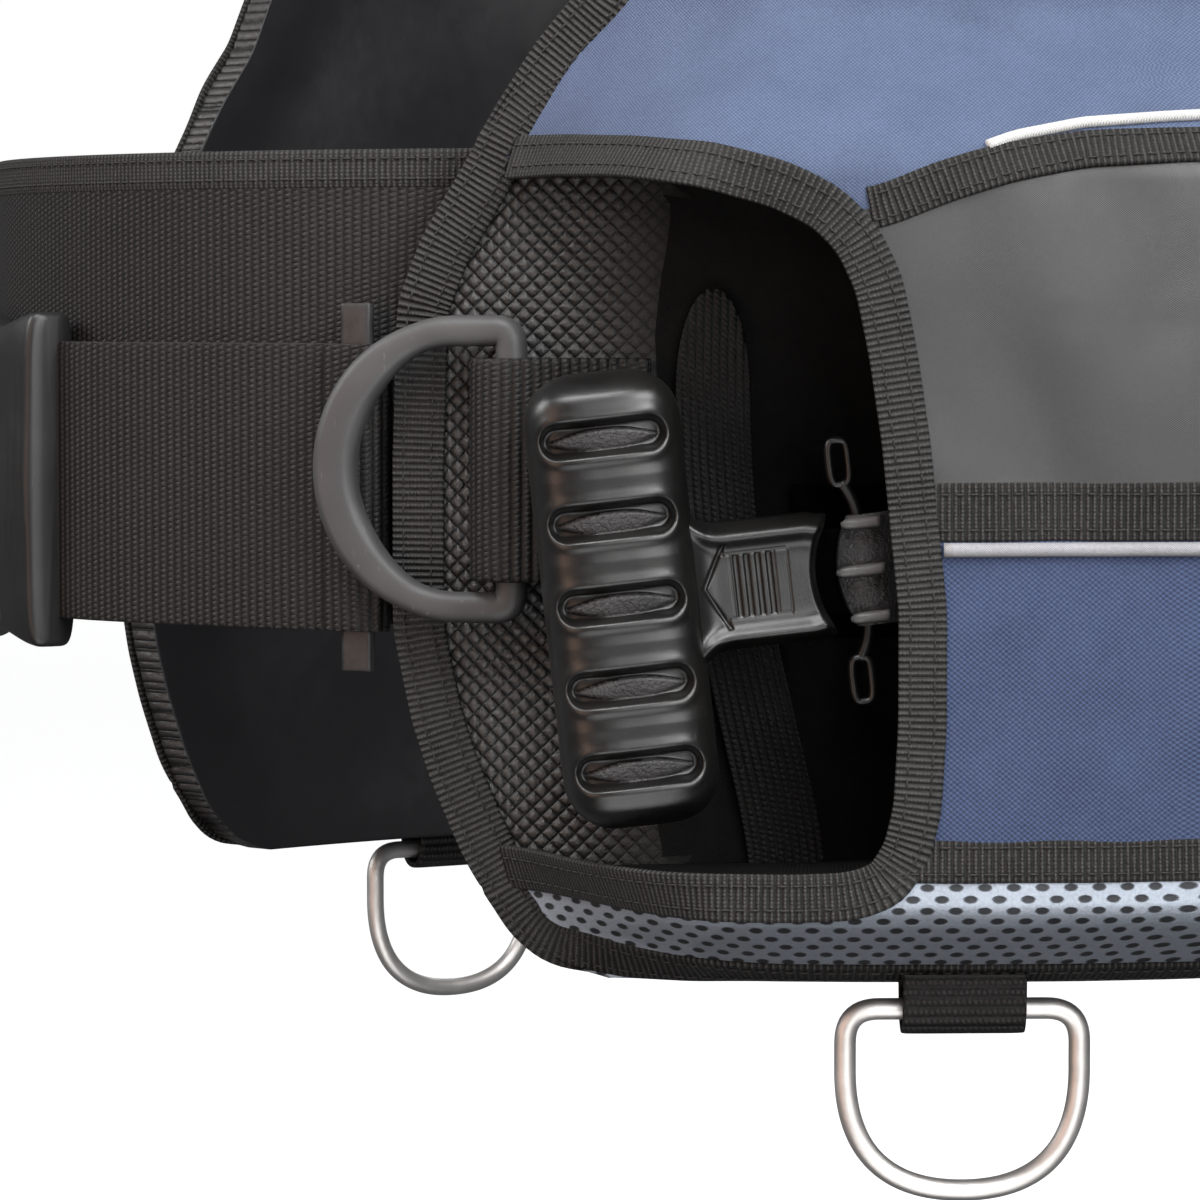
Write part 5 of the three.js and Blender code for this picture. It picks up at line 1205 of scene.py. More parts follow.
for side_name, side in SIDES:
    mesh_piece(f"{side_name}_steel_ring", flipped([steel_ring_shell()], side), [STEEL],
               f"{side_name}_hem_ring", [f"{side_name}_hem_ring"])
    mesh_piece(f"{side_name}_hem_loop", flipped([hem_loop_shell()], side), [BELT_TWILL], "vest",
               [f"{side_name}_hem_tab"])

# ---------- The rear cell and its pads ----------


WING_START = 62


def rear_half(z):
    """Half the rear cell's width, drawn in towards the yoke."""
    return lerp(REAR_CELL_HALF, YOKE_HALF, ramp(z, 190, YOKE_Z))


def rear_outer(s, z):
    """The padding's level: flat behind the cylinder, with a wing as full as the root of a sine on each side."""
    t = np.clip((np.abs(s) - WING_START) / (rear_half(z) - WING_START), 0, 1)
    ends = ramp(z, HEM_Z, HEM_Z + 50) * (1 - ramp(z, YOKE_Z - 50, YOKE_Z))
    return 13 + 32 * np.sqrt(np.clip(np.sin(np.pi * t), 0, 1)) * ends


VALVE_BACK = 3.35
VALVE_SEATS = ((90, 140), (-90, 140), (-90, -170))


def rear_cell_shell():
    """A closed form over the spine: the outer cloth with crossed sine wrinkles and a flat seat for each
    valve, and the wearer's side behind it."""
    rows, cols = 130, 90
    z = lerp(HEM_Z, YOKE_Z, np.linspace(0, 1, rows))[:, None]
    s = np.sin(np.linspace(-1, 1, cols) * np.pi / 2)[None] * rear_half(z)
    wrinkle = 0.5 * np.sin(s / 9 + 2 * np.sin(z / 31)) * np.sin(z / 17 + s / 40)
    level = rear_outer(s, z) - 0.9 + wrinkle * (rear_outer(s, z) > 14)
    outer = over(s, z, level)
    for valve_x, valve_z in VALVE_SEATS:
        seat = 1 - ramp(np.hypot(outer[..., 0] - valve_x, outer[..., 2] - valve_z), 24, 30)
        outer[..., 1] = lerp(outer[..., 1], np.minimum(outer[..., 1], VALVE_BACK - 0.7), seat)
    uv = np.stack([np.concatenate([s, s[:, ::-1]], 1), np.repeat(z, 2 * cols, 1)], -1)
    kinds = np.zeros((rows + 1, 2 * cols), int)
    kinds[:, cols:] = 1
    kinds[:, 28:62] = 2
    return *two_faced(outer, over(s[:, ::-1], z, 0.4), uv), kinds


rear = mesh_piece("rear_cell_skin", [rear_cell_shell()], [SHELL_BLUE, SATIN_GREY, PAD_CLOTH], "vest",
                  ["rear_cell"])


def side_seam_level(s, z):
    """The seam between the rear cell and a lobe lies at one level."""
    return 0 * s + 13.2


seam_tapes, seam_threads = [], []
for sign in (-1, 1):
    for place, low, high, level in ((WING_START, -245, 226, rear_outer),
                                    (REAR_CELL_HALF + 0.4, -248, -62, side_seam_level)):
        line = np.stack([np.full(80, sign * place), np.linspace(low, high, 80)], -1)
        made, sewn = tape(line, level, 9, 0.3, 0.3, step=3)
        seam_tapes.append(made)
        seam_threads += sewn
mesh_piece("rear_binding", seam_tapes, [BINDING], "vest")
mesh_piece("rear_thread", seam_threads, [THREAD], "vest")


def inner_pad_shell(half, z0, z1, thick, channels):
    """A pad crowned towards the wearer by crossed sine arches, with a bell-shaped channel sewn across it at
    each channel's height and a smoothly falling edge."""
    u, v = np.meshgrid(np.linspace(0, 1, 110), np.linspace(0, 1, 150))
    s, z = lerp(-half, half, u), lerp(z0, z1, v)
    crown = np.sin(np.pi * lerp(0.12, 0.88, u)) * np.sin(np.pi * lerp(0.12, 0.88, v))
    edge = ramp(np.minimum(u, 1 - u) * 2 * half, 0, 9) * ramp(np.minimum(v, 1 - v) * (z1 - z0), 0, 9)
    groove = sum(np.exp(-(((z - c) / 2.4) ** 2)) for c in channels)
    level = 0.6 + (thick * (0.35 + 0.65 * crown) - 0.6) * edge - 2.2 * groove * edge
    uv = np.stack([np.concatenate([s, s[:, ::-1]], 1), np.concatenate([z, z], 1)], -1)
    return two_faced(over(s, z, -0.35 - np.maximum(level, 0.5)), over(s, z, -0.35)[:, ::-1], uv)


for name, node, numbers in (("lumbar_cushion", "lumbar_pad", (72, HEM_Z + 35, -72, 12, (-180, -145, -108))),
                            ("upper_back_cushion", "upper_back_pad", (70, -40, 172, 10, (10, 66, 120)))):
    pad = mesh_piece(name, [inner_pad_shell(*numbers)], [PAD_MESH], "vest", [node])

# ---------- The shoulder harness ----------

SHOULDER_THICK, PAD_WIDTH, WEB_WIDTH = 14, 62, 38
# Each stop of a route is a place and the way the strap faces there.
SHOULDER_ROUTE = np.array([
    [60, -31, 232.35, 0, 1, 0], [60, -31, 244, 0, 1, 0.05], [69, -42, 270, 0.1, 0.85, 0.5],
    [84, -72, 298, 0.15, 0.45, 0.9], [95, -118, 312, 0.2, 0, 1], [104, -168, 296, 0.3, -0.55, 0.8],
    [115, -208, 250, 0.45, -0.8, 0.4], [130, -230, 196, 0.6, -0.8, 0.15],
])
STRAP_S = 312.0
strap_end = [[*over(STRAP_S, z, 6.0), *outward(STRAP_S)] for z in (LOBE_TOP_Z + 14, LOBE_TOP_Z + 0.35)]
STRAP_ROUTE = np.array([
    [130, -230, 196, 0.6, -0.8, 0.15], [133.3, -234.8, 184.1, 0.62, -0.77, 0.15],
    [146, -236, 140, 0.72, -0.68, 0.1], [158, -224, 98, 0.85, -0.5, 0], *strap_end,
])


def centripetal(points, t):
    """A Catmull-Rom curve with centripetal knots, at t from 0 to 1 with equal shares for each span."""
    points = np.asarray(points, float)
    first, last = 2 * points[0] - points[1], 2 * points[-1] - points[-2]
    ring = np.concatenate([[first], points, [last]])
    place = np.clip(np.asarray(t, float), 0, 1) * (len(points) - 1)
    i = np.minimum(place.astype(int), len(points) - 2)
    w = (place - i)[:, None]
    p0, p1, p2, p3 = ring[i], ring[i + 1], ring[i + 2], ring[i + 3]
    d0, d1, d2 = (np.maximum(np.linalg.norm(b - a, axis=1) ** 0.5, 1e-6)[:, None]
                  for a, b in ((p0, p1), (p1, p2), (p2, p3)))
    t1 = ((p1 - p0) / d0 - (p2 - p0) / (d0 + d1) + (p2 - p1) / d1) * d1
    t2 = ((p2 - p1) / d1 - (p3 - p1) / (d1 + d2) + (p3 - p2) / d2) * d1
    return (p1 * (2 * w ** 3 - 3 * w ** 2 + 1) + t1 * (w ** 3 - 2 * w ** 2 + w)
            + p2 * (-2 * w ** 3 + 3 * w ** 2) + t2 * (w ** 3 - w ** 2))


def route_frame(route, t):
    """The middle line of a route at t, with its tangent, the way it faces and its side."""
    t = np.atleast_1d(np.asarray(t, float))
    at = centripetal(route[:, :3], t)
    before, after = (centripetal(route[:, :3], np.clip(t + step, 0, 1)) for step in (-1e-3, 1e-3))
    ahead = unit(after - before)
    out = centripetal(route[:, 3:], t)
    out = unit(out - (out * ahead).sum(-1, keepdims=True) * ahead)
    return at, ahead, out, np.cross(ahead, out)


def ribbon(route, t0, t1, width, thick, level=0.0, steps=120, corner=0.2, count=40, scale=None):
    """A strap along part of a route."""
    at, _, out, _ = route_frame(route, np.linspace(t0, t1, steps))
    return swept(at + out * level, out, ring_profile(count, width, thick, corner), scale=scale)


def shoulder_pieces(side_name, side):
    """The shoulder pad, squeezed in three places, with its webbing, bound edges, stitching and lower strap."""
    t = np.linspace(0, 1, 200)
    squeeze = 1 - 0.10 * np.exp(-((t[:, None] - np.array([0.18, 0.42, 0.66])) / 0.012) ** 2).sum(1)
    ends = np.minimum(ramp(t, -0.02, 0.03), ramp(1 - t, -0.02, 0.03))
    shape = np.stack([0.97 + 0.03 * ends, squeeze * lerp(0.55, 1, ends)], -1)
    pad = ribbon(SHOULDER_ROUTE, 0.0, 1.0, PAD_WIDTH - 1, SHOULDER_THICK - 0.6, steps=200, corner=0.42,
                 count=60, scale=shape)
    piece = mesh_piece(f"{side_name}_shoulder_cushion", flipped([pad], side), [PAD_CLOTH], "vest",
                       [f"{side_name}_shoulder_pad"])
    top = ribbon(SHOULDER_ROUTE, 0.05, 0.93, WEB_WIDTH, 2.2, SHOULDER_THICK / 2 - 0.1, steps=160)
    at, _, out, across = route_frame(SHOULDER_ROUTE, np.linspace(0.02, 0.985, 200))
    rims = [swept(at + across * k, out, ring_profile(16, 4.2, 8.5, 0.7))
            for k in (1.2 - PAD_WIDTH / 2, PAD_WIDTH / 2 - 1.2)]
    mesh_piece(f"{side_name}_shoulder_webbing", flipped([top], side), [WEBBING], "vest")
    mesh_piece(f"{side_name}_shoulder_binding", flipped(rims, side), [BINDING], "vest")
    at, _, out, across = route_frame(SHOULDER_ROUTE, np.linspace(0.06, 0.92, 300))
    rows = [shell for k in (-16.5, 16.5)
            for shell in stitches(at + across * k + out * (SHOULDER_THICK / 2 + 1.0), out)]
    mesh_piece(f"{side_name}_shoulder_thread", flipped(rows, side), [THREAD], "vest")
    lower = ribbon(STRAP_ROUTE, 0.24, 1.0, WEB_WIDTH, 2.4, -1)
    mesh_piece(f"{side_name}_lower_webbing", flipped([lower], side), [WEBBING], "vest",
               [f"{side_name}_lower_strap"])


for side_name, side in SIDES:
    shoulder_pieces(side_name, side)

CHEST_T, CHEST_MIDDLE_Y = 0.945, -272
chest_at, _, chest_out, chest_side = (a[0] for a in route_frame(SHOULDER_ROUTE, CHEST_T))
chest_lift = SHOULDER_THICK / 2 + 2.75
CHEST_ROUTE = np.array([
    [*(chest_at + chest_side * 9 + chest_out * chest_lift), *chest_out],
    [*(chest_at + chest_side * (PAD_WIDTH / 2 + 2) + chest_out * chest_lift), *chest_out],
    [55, CHEST_MIDDLE_Y + 4, chest_at[2], 0.1, -1, 0], [0, CHEST_MIDDLE_Y, chest_at[2], 0, -1, 0],
])
for side_name, side in SIDES:
    mesh_piece(f"{side_name}_chest_webbing",
               flipped([ribbon(CHEST_ROUTE, 0, 0.86, 25, 2.4)], side), [WEBBING], "vest",
               [f"{side_name}_chest_strap"])

# ---------- The buckles ----------


def buckle_shell(place, length, half, thick, socket, rows=110, cols=120):
    """One half of a side-release buckle. u runs outwards from the middle, v across and w outwards, and
    place(u, v, w) puts it over the strap. Its sections are superellipses waisted by a squared sine, with
    windows, grooves and ribs between smooth steps on its face."""
    t = np.linspace(0, 1, rows)[:, None]
    angle = around(cols)
    across, up = blunt(np.cos(angle), 0.34)[None], blunt(np.sin(angle), 0.34)[None]
    u = t * length + 0 * across
    end = dome(1 - np.minimum(u, length - u) / 2.2, 2.4)
    v = (half * (1 - 0.09 * np.sin(np.pi * t) ** 2) - 1.6 * (1 - end)) * across
    w = thick / 2 + (thick / 2 - 0.1) * (0.4 + 0.6 * end) * up
    face = ramp(up, 0.6, 0.97) * end
    reach = np.abs(v) / half
    along_window = ramp(t, 0.2, 0.26) * (1 - ramp(t, 0.6, 0.66))
    window = ramp(reach, 0.50, 0.56) * (1 - ramp(reach, 0.80, 0.86)) * along_window
    groove = np.exp(-((reach - 0.40) / 0.02) ** 2) * (ramp(t, 0.1, 0.14) * (1 - ramp(t, 0.84, 0.88)))
    ribs = (0.5 + 0.5 * np.cos(u / 3.2 * TAU)) * ramp(t, 0.66, 0.72) * (1 - ramp(reach, 0.3, 0.36))
    relief = (-0.22 if socket else 0.05) * thick * window - 0.7 * groove + 0.6 * ribs
    return capped(place(u, v, w + face * relief * (w > thick / 2)), np.stack([u, v + w], -1))


def at_waist(u, v, w):
    """u runs back from the front's middle along the belt, v up and w outwards."""
    return over(CENTRE_FRONT - 0.3 - u, BELT_WEB_Z + v, w)


def at_chest(u, v, w):
    """u runs out from the middle along the chest strap, v up and w forwards."""
    return np.stack([0.3 + u, CHEST_MIDDLE_Y + 5.5 - w, chest_at[2] + v], -1)


SHOULDER_CLIP = 68


def at_shoulder(u, v, w):
    """u runs down the strap's route, v across it and w outwards."""
    t = lerp(0.006, 0.37, u[:, 0] / SHOULDER_CLIP)
    at, _, out, across = route_frame(STRAP_ROUTE, t)
    return at[:, None] + across[:, None] * v[..., None] + out[:, None] * (w[..., None] - 5)


for side_name, side, part, socket in (("left", 1, "socket", True), ("right", -1, "tongue", False)):
    mesh_piece(f"waist_clip_{part}", flipped([buckle_shell(at_waist, 43.6, 37.6, 12.8, socket)], side),
               [HARD_PLASTIC], "vest", [f"waist_buckle_{part}"])
    mesh_piece(f"chest_clip_{part}", flipped([buckle_shell(at_chest, 29.5, 17.8, 11, socket)], side),
               [HARD_PLASTIC], "vest", [f"chest_buckle_{part}"])
    clip = buckle_shell(at_shoulder, SHOULDER_CLIP, 24, 9.8, True)
    mesh_piece(f"{side_name}_shoulder_clip", flipped([clip], side), [HARD_PLASTIC], "vest",
               [f"{side_name}_shoulder_buckle"])

# ---------- The back: band, grab handle and cam buckle ----------

BAND_WIDTH, BAND_THICK, BAND_Z, CYLINDER_RADIUS, PLATE_TOP_Z = 50, 2.5, 10, 92, 190
PLATE_BACK = SPINE_Y + 13 + 0.35 + 10


def band_shell():
    """The cylinder band: out of one slot, round the cylinder on a circle and back into the other."""
    x = 48 - BAND_THICK / 2
    angle = np.radians(np.arange(50, 181, 3))
    half = np.concatenate([
        [[x, PLATE_BACK - 7], [x, PLATE_BACK + 3], [x + 8, 6]],
        np.stack([CYLINDER_RADIUS * np.sin(angle), CYLINDER_RADIUS * (1 - np.cos(angle))], -1)])
    line = np.concatenate([half, (half * [-1, 1])[::-1][1:]])
    line = smoothed(resampled(line, step=2), 2)
    ahead = unit(np.gradient(line, axis=0))
    out = np.stack([ahead[:, 1], -ahead[:, 0], 0 * ahead[:, 0]], -1)
    points = np.pad(line, ((0, 0), (0, 1)), constant_values=BAND_Z) + out * (BAND_THICK / 2)
    return swept(points, out, ring_profile(40, BAND_WIDTH - 0.4, BAND_THICK - 0.1, 0.16))


def grab_shell():
    """A webbing arch on the backplate's top edge: half a superellipse."""
    angle = np.pi * (1 - np.linspace(0, 1, 120))
    x = 40.5 * blunt(np.cos(angle), 0.6)
    z = PLATE_TOP_Z + 0.35 + 38.5 * np.abs(np.sin(angle)) ** 0.6
    points = resampled(np.stack([x, 0 * x - 9, z], -1), step=1.5)
    return swept(points, np.cross([0, 1.0, 0], directions(points)), ring_profile(30, 24, 4.6, 0.3))


mesh_piece("cylinder_band", [band_shell()], [WEBBING], "vest", ["tank_band"])
mesh_piece("grab_handle", [grab_shell()], [WEBBING], "vest", ["carry_handle"])

BLOCK_ROUND, BLOCK_SQUARE = 1.2, 0.25


def rounded_block(low, high):
    """A block with soft rims, as superellipse sections along its longest side."""
    low, high = np.array(low, float), np.array(high, float)
    size, middle = high - low, (low + high) / 2
    axis = int(np.argmax(size))
    first, second = [k for k in range(3) if k != axis]
    t = np.sin(np.linspace(-1, 1, 40) * np.pi / 2)
    from_end = (1 - np.abs(t)) * size[axis] / 2
    shrink = BLOCK_ROUND * (1 - dome(1 - from_end / BLOCK_ROUND))
    angle = around(48)
    points = np.zeros((len(t), len(angle), 3))
    points[..., axis] = (middle[axis] + t * size[axis] / 2)[:, None]
    for k, wave in ((first, np.cos(angle)), (second, np.sin(angle))):
        points[..., k] = middle[k] + (size[k] / 2 - shrink)[:, None] * blunt(wave, BLOCK_SQUARE)
    return capped(points, points[..., [axis, first]])


CAM_BACK, CAM_SIDE, PIN_X = 2 * CYLINDER_RADIUS + BAND_THICK, BAND_WIDTH / 2 + 6, -26
PIN_Y = CAM_BACK + 9
pin_centre = (PIN_X, PIN_Y, BAND_Z)
cam_frame = [rounded_block((-34, CAM_BACK + 0.35, BAND_Z - CAM_SIDE),
                           (34, CAM_BACK + 3.4, BAND_Z + CAM_SIDE))]
for sign in (-1, 1):
    ear = BAND_Z + sign * (CAM_SIDE - 2)
    cam_frame.append(rounded_block((-34, CAM_BACK + 2.6, ear - 1.9), (0, CAM_BACK + 14, ear + 1.9)))
cam_half = BAND_WIDTH / 2 + 1.2
paddle = rounded_block((PIN_X + 3, PIN_Y - 2.4, BAND_Z - cam_half), (36, PIN_Y + 2.6, BAND_Z + cam_half))
cam_ribs = [rounded_block((x - 1, PIN_Y + 1.6, BAND_Z - cam_half + 6),
                          (x + 1, PIN_Y + 3.4, BAND_Z + cam_half - 6)) for x in (14, 20, 26)]
barrel = lathed([(2.9, -cam_half), (4.8, -cam_half), (5.2, 0.4 - cam_half), (5.2, cam_half - 0.4),
                 (4.8, cam_half), (2.9, cam_half), (2.9, -cam_half)], pin_centre, (0, 0, 1))
pin_half = BAND_WIDTH / 2 + 7
pin = lathed([(0, -pin_half), (2.2, -pin_half), (2.5, 0.4 - pin_half), (2.5, pin_half - 0.4), (2.2, pin_half),
              (0, pin_half)], pin_centre, (0, 0, 1))
mesh_piece("cam_base", cam_frame, [HARD_PLASTIC], "vest", ["cam_frame"])
mesh_piece("cam_paddle", [paddle, barrel, *cam_ribs], [LATCH_PLASTIC], "cam_lever",
           ["cam_lever"])
mesh_piece("cam_axle", [pin], [STEEL], "vest", ["cam_pin"])

# ---------- The inflator ----------

BODY_TOP = np.array([164, -263, 154.0])
BODY_LENGTH, HOSE_RADIUS, HOSE_OFFSET, HOSE_KEEPER_T = 84, 14, 13, 0.95
HOSE_FOLD, HOSE_RELIEF = 5.2, 2.6
FILL_DROP, PORT_DROP, SPOUT = 52, 24, np.array([0, -34, -8])


def hose_line(count=700):
    """The hose's route: up from the elbow, along the shoulder pad and down the chest to the body."""
    lift = SHOULDER_THICK / 2 + HOSE_RADIUS + 2.2 + 2.6
    at, _, out, across = route_frame(SHOULDER_ROUTE, np.array([0.5, 0.62, 0.74, 0.86, HOSE_KEEPER_T]))
    on_pad = at - across * HOSE_OFFSET + out * lift
    start = np.array([90, VALVE_BACK + 20, 140 + 36.35])
    rise = [start, start + [0, 0, 18], [90, 8, 262]]
    end = BODY_TOP + [0, 0, 0.35]
    fall = [end + [-1, 1, 26], end + [0, 0, 10], end]
    stops = np.array([*rise, *on_pad, *fall], float)
    return resampled(centripetal(stops, np.linspace(0, 1, 1500)), count)


def hose_shell():
    """A corrugated hose: round sections whose radius follows a blunted sine, plain at both ends."""
    line = hose_line()
    run = np.linspace(0, 1, len(line)) * np.linalg.norm(np.diff(line, axis=0), axis=1).sum()
    folded = ramp(run, 22, 26) * ramp(run[-1] - run, 22, 26)
    fold = 0.5 + 0.5 * blunt(np.sin(run / HOSE_FOLD * TAU), 0.7)
    radius = HOSE_RADIUS - 0.3 - folded * (HOSE_RELIEF * (1 - fold))
    out = unit(np.cross(directions(line), [1.0, 0.2, 0]))
    return swept(line, out, ring_profile(36, 2, 2, 1), scale=np.stack([radius, radius], -1))


mesh_piece("corrugated_hose", [hose_shell()], [RUBBER], "vest", ["inflator_hose"])


def ribbed(angle):
    """Thirty squared-off ribs once round, between 0 and 1."""
    return 0.5 + 0.5 * blunt(np.cos(angle * 30), 0.5)


def valve_shell(z):
    """A dump valve, turned: flange, knurled skirt and low domed cap with a sunk ring."""
    profile = np.array([
        (0, 0, 0), (23.6, 0, 0), (24, 0.5, 0), (24, 3.4, 0), (23.4, 4, 0), (20.5, 4.4, 0), (19.4, 5.2, 0),
        (19.0, 6, .9), (19.0, 12.6, .9), (19.2, 13.8, 0), (18.2, 15.6, 0), (16.6, 17, 0), (13.4, 17.9, 0),
        (12.6, 17.2, 0), (11.6, 17.4, 0), (10.8, 18.5, 0), (6, 19.6, 0), (0, 20, 0)])
    return lathed(profile, (-90, VALVE_BACK, z), (0, 1, 0), 240, ribbed)


for name, node, z in (("shoulder_valve_cap", "shoulder_dump_valve", 140),
                      ("rear_valve_cap", "rear_dump_valve", -170)):
    mesh_piece(name, [valve_shell(z)], [HARD_PLASTIC], "vest", [node])


def elbow_shells():
    """The elbow: a turned flange and cuff, and a pipe that turns upwards through a quarter circle."""
    flange = lathed(softened([(0, 0), (21.6, 0), (22, 1), (22, 3), (21, 4), (16.5, 4.4), (15.2, 6), (15, 8),
                              (0, 8)], 1), (90, VALVE_BACK, 140), (0, 1, 0), 96)
    angle = np.linspace(0, np.pi / 2, 24)
    bend = np.stack([0 * angle + 90, VALVE_BACK + 5 + 15 * np.sin(angle), 140 + 15 * (1 - np.cos(angle))], -1)
    rise = [[90, VALVE_BACK + 20, z] for z in (158, 166, 176)]
    line = np.concatenate([[[90, VALVE_BACK + 2, 140]], bend, rise])
    out = np.cross(directions(line), [1.0, 0, 0])
    cuff = lathed(softened([(0, 0), (14.9, 0), (15.2, 1), (15.2, 13), (14.2, 14.6), (0, 14.8)], 1),
                  (90, VALVE_BACK + 20, 161), (0, 0, 1), 64)
    return [flange, swept(line, out, ring_profile(48, 28.4, 28.4, 1)), cuff]


mesh_piece("hose_elbow", elbow_shells(), [HARD_PLASTIC], "vest", ["inflator_elbow"])


def keeper_shell():
    """A soft cuff round the hose, open at both ends, with a rounded wall."""
    line = hose_line()
    at = route_frame(SHOULDER_ROUTE, HOSE_KEEPER_T)[0][0]
    best = int(np.argmin(np.linalg.norm(line - at, axis=1)))
    axis = directions(line)[best]
    wall = [(15.5, -10.5), (15.5, 10.5), (16.2, 11), (17, 10.5), (17.2, 9.5), (17.2, -9.5), (17, -10.5),
            (16.2, -11), (15.5, -10.5)]
    return lathed(wall, line[best], axis, 72)


mesh_piece("hose_cuff", [keeper_shell()], [WEBBING], "vest", ["hose_keeper"])

# ---------- The inflator's body, buttons and mouthpiece ----------


def barrel_shell():
    """The body, turned: a barrel with a cuff above, finger ribs and a well below for its button."""
    profile = [(0, 0), (13.2, 0), (14, -1), (14, -9), (13, -10), (13, -12), (13.9, -13), (13.9, -30)]
    for z in range(-32, -64, -5):
        profile += [(13.9, z + 0.6), (13.1, z), (13.1, z - 1), (13.9, z - 1.6)]
    profile += [(13.9, -68), (13.9, -81), (12.9, -84), (9.2, -84), (8.6, -83), (8.6, -73), (0, -73)]
    return lathed(profile, BODY_TOP, (0, 0, 1), 72)


def head_shell():
    """The head that holds the fill button: loops from a superellipse box to the circle of a well in its
    face, each at its own depth."""
    angle = around(64)
    box = np.stack([blunt(np.cos(angle), 0.4) * 12, blunt(np.sin(angle), 0.4) * 14], -1)
    well = np.stack([np.cos(angle), np.sin(angle)], -1)
    stops = [(4, 0 * box), (4, box), (22.6, box), (23.6, box * 0.96), (24, box * 0.9), (24, well * 9.2),
             (23.4, well * 8.6), (17, well * 8.6), (17, well * 0)]
    points = np.stack([np.stack([BODY_TOP[0] + loop[:, 0], np.full(64, BODY_TOP[1] - deep),
                                 BODY_TOP[2] - FILL_DROP + loop[:, 1]], -1) for deep, loop in stops])
    return points, points[..., [0, 2]]


def spout_shell():
    """The mouthpiece's pipe, straight out of the body's side and a little down."""
    t = np.linspace(0.34, 1, 24)[:, None]
    return swept(BODY_TOP + [0, 0, -70] + t * SPOUT, (1, 0, 0), ring_profile(40, 18, 18, 1))


def button_shell(centre, axis, height):
    """A round button, turned, with a rolled rim and a dished, ringed top."""
    profile = [(0, 0), (7.8, 0), (8, 0.4), (8, height - 0.8), (7.3, height), (6.2, height - 0.2),
               (5.6, height - 0.7), (4.2, height - 0.9), (3.8, height - 0.6), (3.2, height - 0.9),
               (0, height - 1)]
    return lathed(profile, centre, axis, 56)


PORT_PROFILE = [(0, 0), (7.5, 0), (7.5, 12), (6.9, 13), (6.9, 18.6), (7.5, 19.2), (7.2, 20), (0, 20)]
LIP_PROFILE = [(5, 0.4), (8, 0.4), (8, 7.5), (9.2, 8.6), (12.4, 9.2), (13.1, 11), (12.6, 13.8), (10.4, 15),
               (6, 15), (5, 14.2), (5, 0.4)]
NIPPLE_PROFILE = [(0, 0), (5.3, 0), (5.5, 0.3), (5.5, 4.8), (3.7, 6), (3.6, 9), (4.7, 9.9), (4.9, 10.4),
                  (4.9, 15.6), (4.5, 16), (2.2, 16), (2, 15.7), (2, 8), (0, 8)]
port = lathed(PORT_PROFILE, BODY_TOP + [4, 0, -PORT_DROP], (1, 0, 0), 48)
fill = button_shell(BODY_TOP + [0, -20, -FILL_DROP], (0, -1, 0), 8)
vent = button_shell(BODY_TOP + [0, 0, 5 - BODY_LENGTH], (0, 0, -1), 9)
lip = lathed(LIP_PROFILE, BODY_TOP + [0, 0, -70] + SPOUT, SPOUT, 56)
nipple = lathed(NIPPLE_PROFILE, BODY_TOP + [24.35, 0, -PORT_DROP], (1, 0, 0), 48)
for name, shells, material, body, slot, node in (
    ("inflator_barrel", [barrel_shell(), head_shell(), spout_shell(), port], HARD_PLASTIC, "vest",
     "hard_plastic", "inflator_body"),
    ("fill_button", [fill], BUTTON_PLASTIC, "inflate_button", "button_plastic", "inflate_button"),
    ("vent_button", [vent], BUTTON_PLASTIC, "deflate_button", "button_plastic", "deflate_button"),
    ("soft_mouthpiece", [lip], RUBBER, "vest", "rubber", "mouthpiece"),
    ("hose_nipple", [nipple], STEEL, "vest", "steel", "supply_nipple"),
):
    mesh_piece(name, shells, [material], body, [node])

# ---------- Finishes for the frame's own pieces ----------

# The latch base takes the near-black plastic that is painted shade.
KEPT = {"latch_base": PAINTED_SHADE_PLASTIC, "backplate": HARD_PLASTIC, "tank_pad": RUBBER}
for node_name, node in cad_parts.items():
    key = node_name.removeprefix("left_").removeprefix("right_")
    if key in KEPT:
        node.data.materials.clear()
        node.data.materials.append(KEPT[key])

# ---------- The stage and its lights ----------

FLOOR_Z = -620
WAIST, WHOLE = CAMERA_TARGET, (0, -0.1, 0)
# Each light's name, place, aim, width and height in metres, power and colour.
LIGHTS = (
    ("key", (1.86, -0.10, 0.27), WAIST, (1.2, 1.1), 20, (1, 1, 1)),
    ("high", (1.45, 0.25, 1.0), WAIST, (0.8, 0.7), 24, (1, 1, 1)),
    ("top", (0.75, -0.75, 1.35), WAIST, (0.9, 0.7), 24, (1, 1, 1)),
    ("warm_side", (0.75, -1.65, 0.0), WAIST, (0.7, 1.3), 6, (1, 0.62, 0.45)),
    ("bounce", (1.25, -0.55, -1.15), WAIST, (1.3, 0.9), 11, (1, 1, 1)),
    ("behind", (-1.2, 1.2, 1.4), WHOLE, (1.2, 1.0), 26, (1, 1, 1)),
    ("front", (-0.6, -2.0, 0.9), WHOLE, (1.2, 1.0), 26, (1, 1, 1)),
)


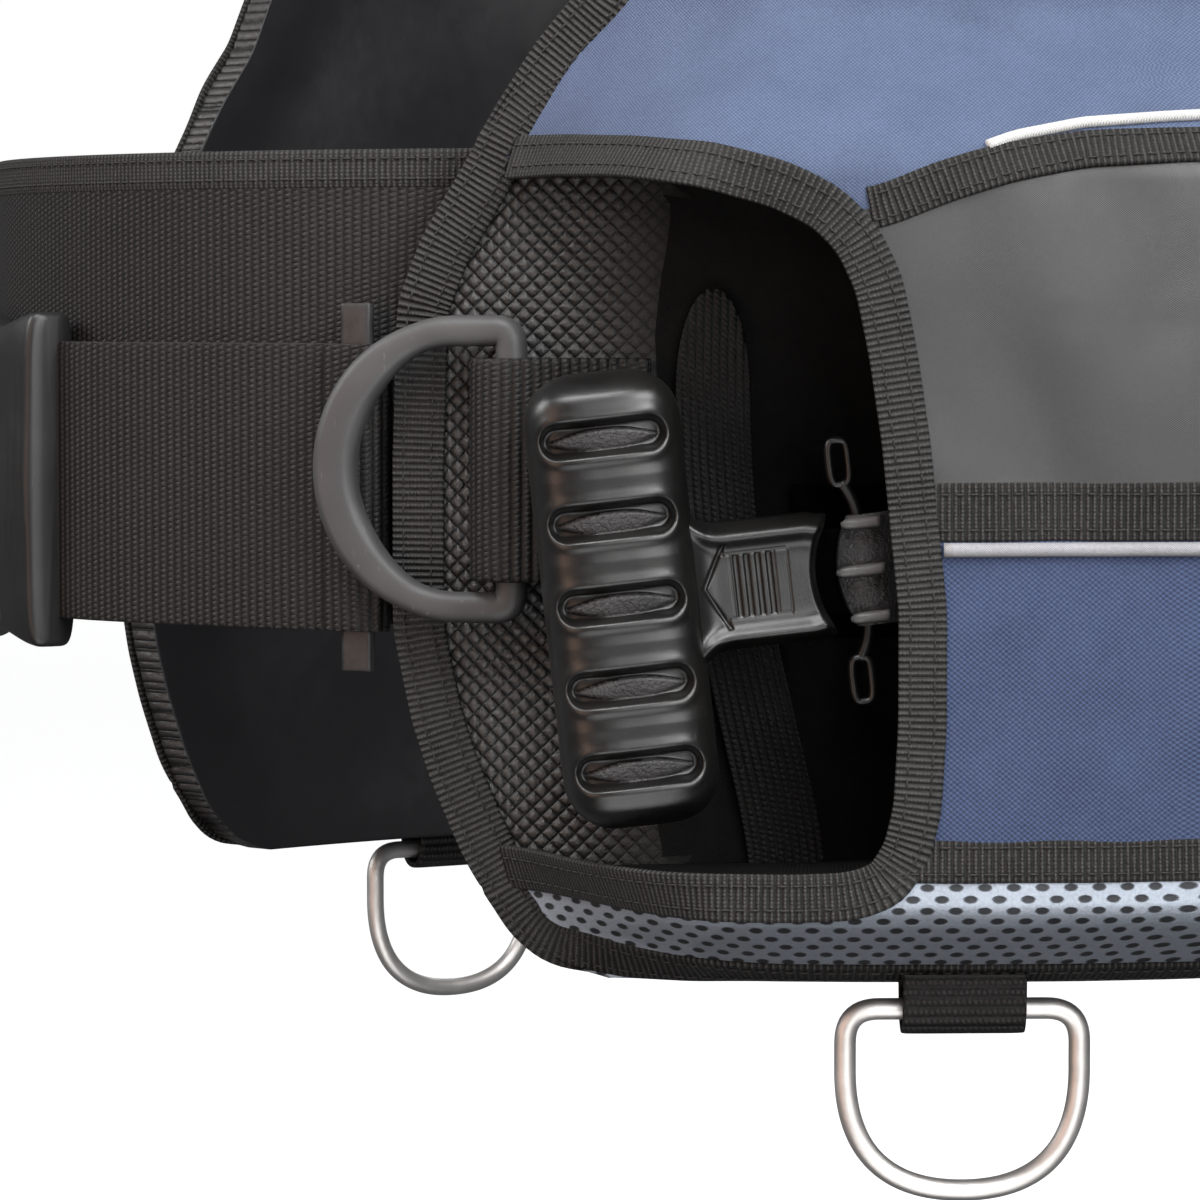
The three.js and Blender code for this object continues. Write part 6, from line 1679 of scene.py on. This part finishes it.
def stage():
    """A pale floor that curves up all round, as one turned surface."""
    profile = [(0, 0), (5200, 0), (6200, 120), (7000, 700), (7400, 1700), (7500, 5200)]

    def build(tree):
        """Paper with slow changes of tone."""
        slow = noise(tree, size=900, detail=2)
        return tone(tree, slow, [(0.3, (0.80, 0.80, 0.80)), (0.8, (0.84, 0.84, 0.84))]), [], None

    paper = finish("stage_paper", build, Roughness=0.9, Emission_Color=(1, 1, 1, 1), Emission_Strength=0.85)
    shell = lathed(softened(profile, 3), (0, 0, FLOOR_Z), (0, 0, 1), 96)
    floor = new_piece("floor", [shell], [paper], weld=False)
    floor.visible_diffuse = floor.visible_glossy = floor.visible_transmission = False


def area_light(name, at, look, size, power, colour):
    """A soft rectangular light that stands at a place and looks at another."""
    data = bpy.data.lights.new(name, "AREA")
    data.shape, data.size, data.size_y = "RECTANGLE", *size
    data.energy, data.color = power, colour
    lamp = bpy.data.objects.new(name, data)
    bpy.context.scene.collection.objects.link(lamp)
    lamp.location = at
    lamp.rotation_euler = (Vector(at) - Vector(look)).to_track_quat("Z", "Y").to_euler()


def light_up():
    """A faint cool light from all round, a white backdrop behind it and the studio's lights."""
    world = bpy.data.worlds.new("studio")
    bpy.context.scene.world = world
    world.use_nodes = True
    tree = world.node_tree
    background = tree.nodes["Background"]
    path = tree.nodes.new("ShaderNodeLightPath")
    seen = tree.nodes.new("ShaderNodeBackground")
    background.inputs[0].default_value = (0.93, 0.96, 1, 1)
    background.inputs[1].default_value = 0.13
    seen.inputs[0].default_value, seen.inputs[1].default_value = (1, 1, 1, 1), 1.0
    mix = tree.nodes.new("ShaderNodeMixShader")
    tree.links.new(path.outputs["Is Camera Ray"], mix.inputs[0])
    tree.links.new(background.outputs[0], mix.inputs[1])
    tree.links.new(seen.outputs[0], mix.inputs[2])
    tree.links.new(mix.outputs[0], tree.nodes["World Output"].inputs[0])
    for light in LIGHTS:
        area_light(*light)


place_camera()
stage()
light_up()
bpy.context.scene.view_settings.view_transform = "Standard"
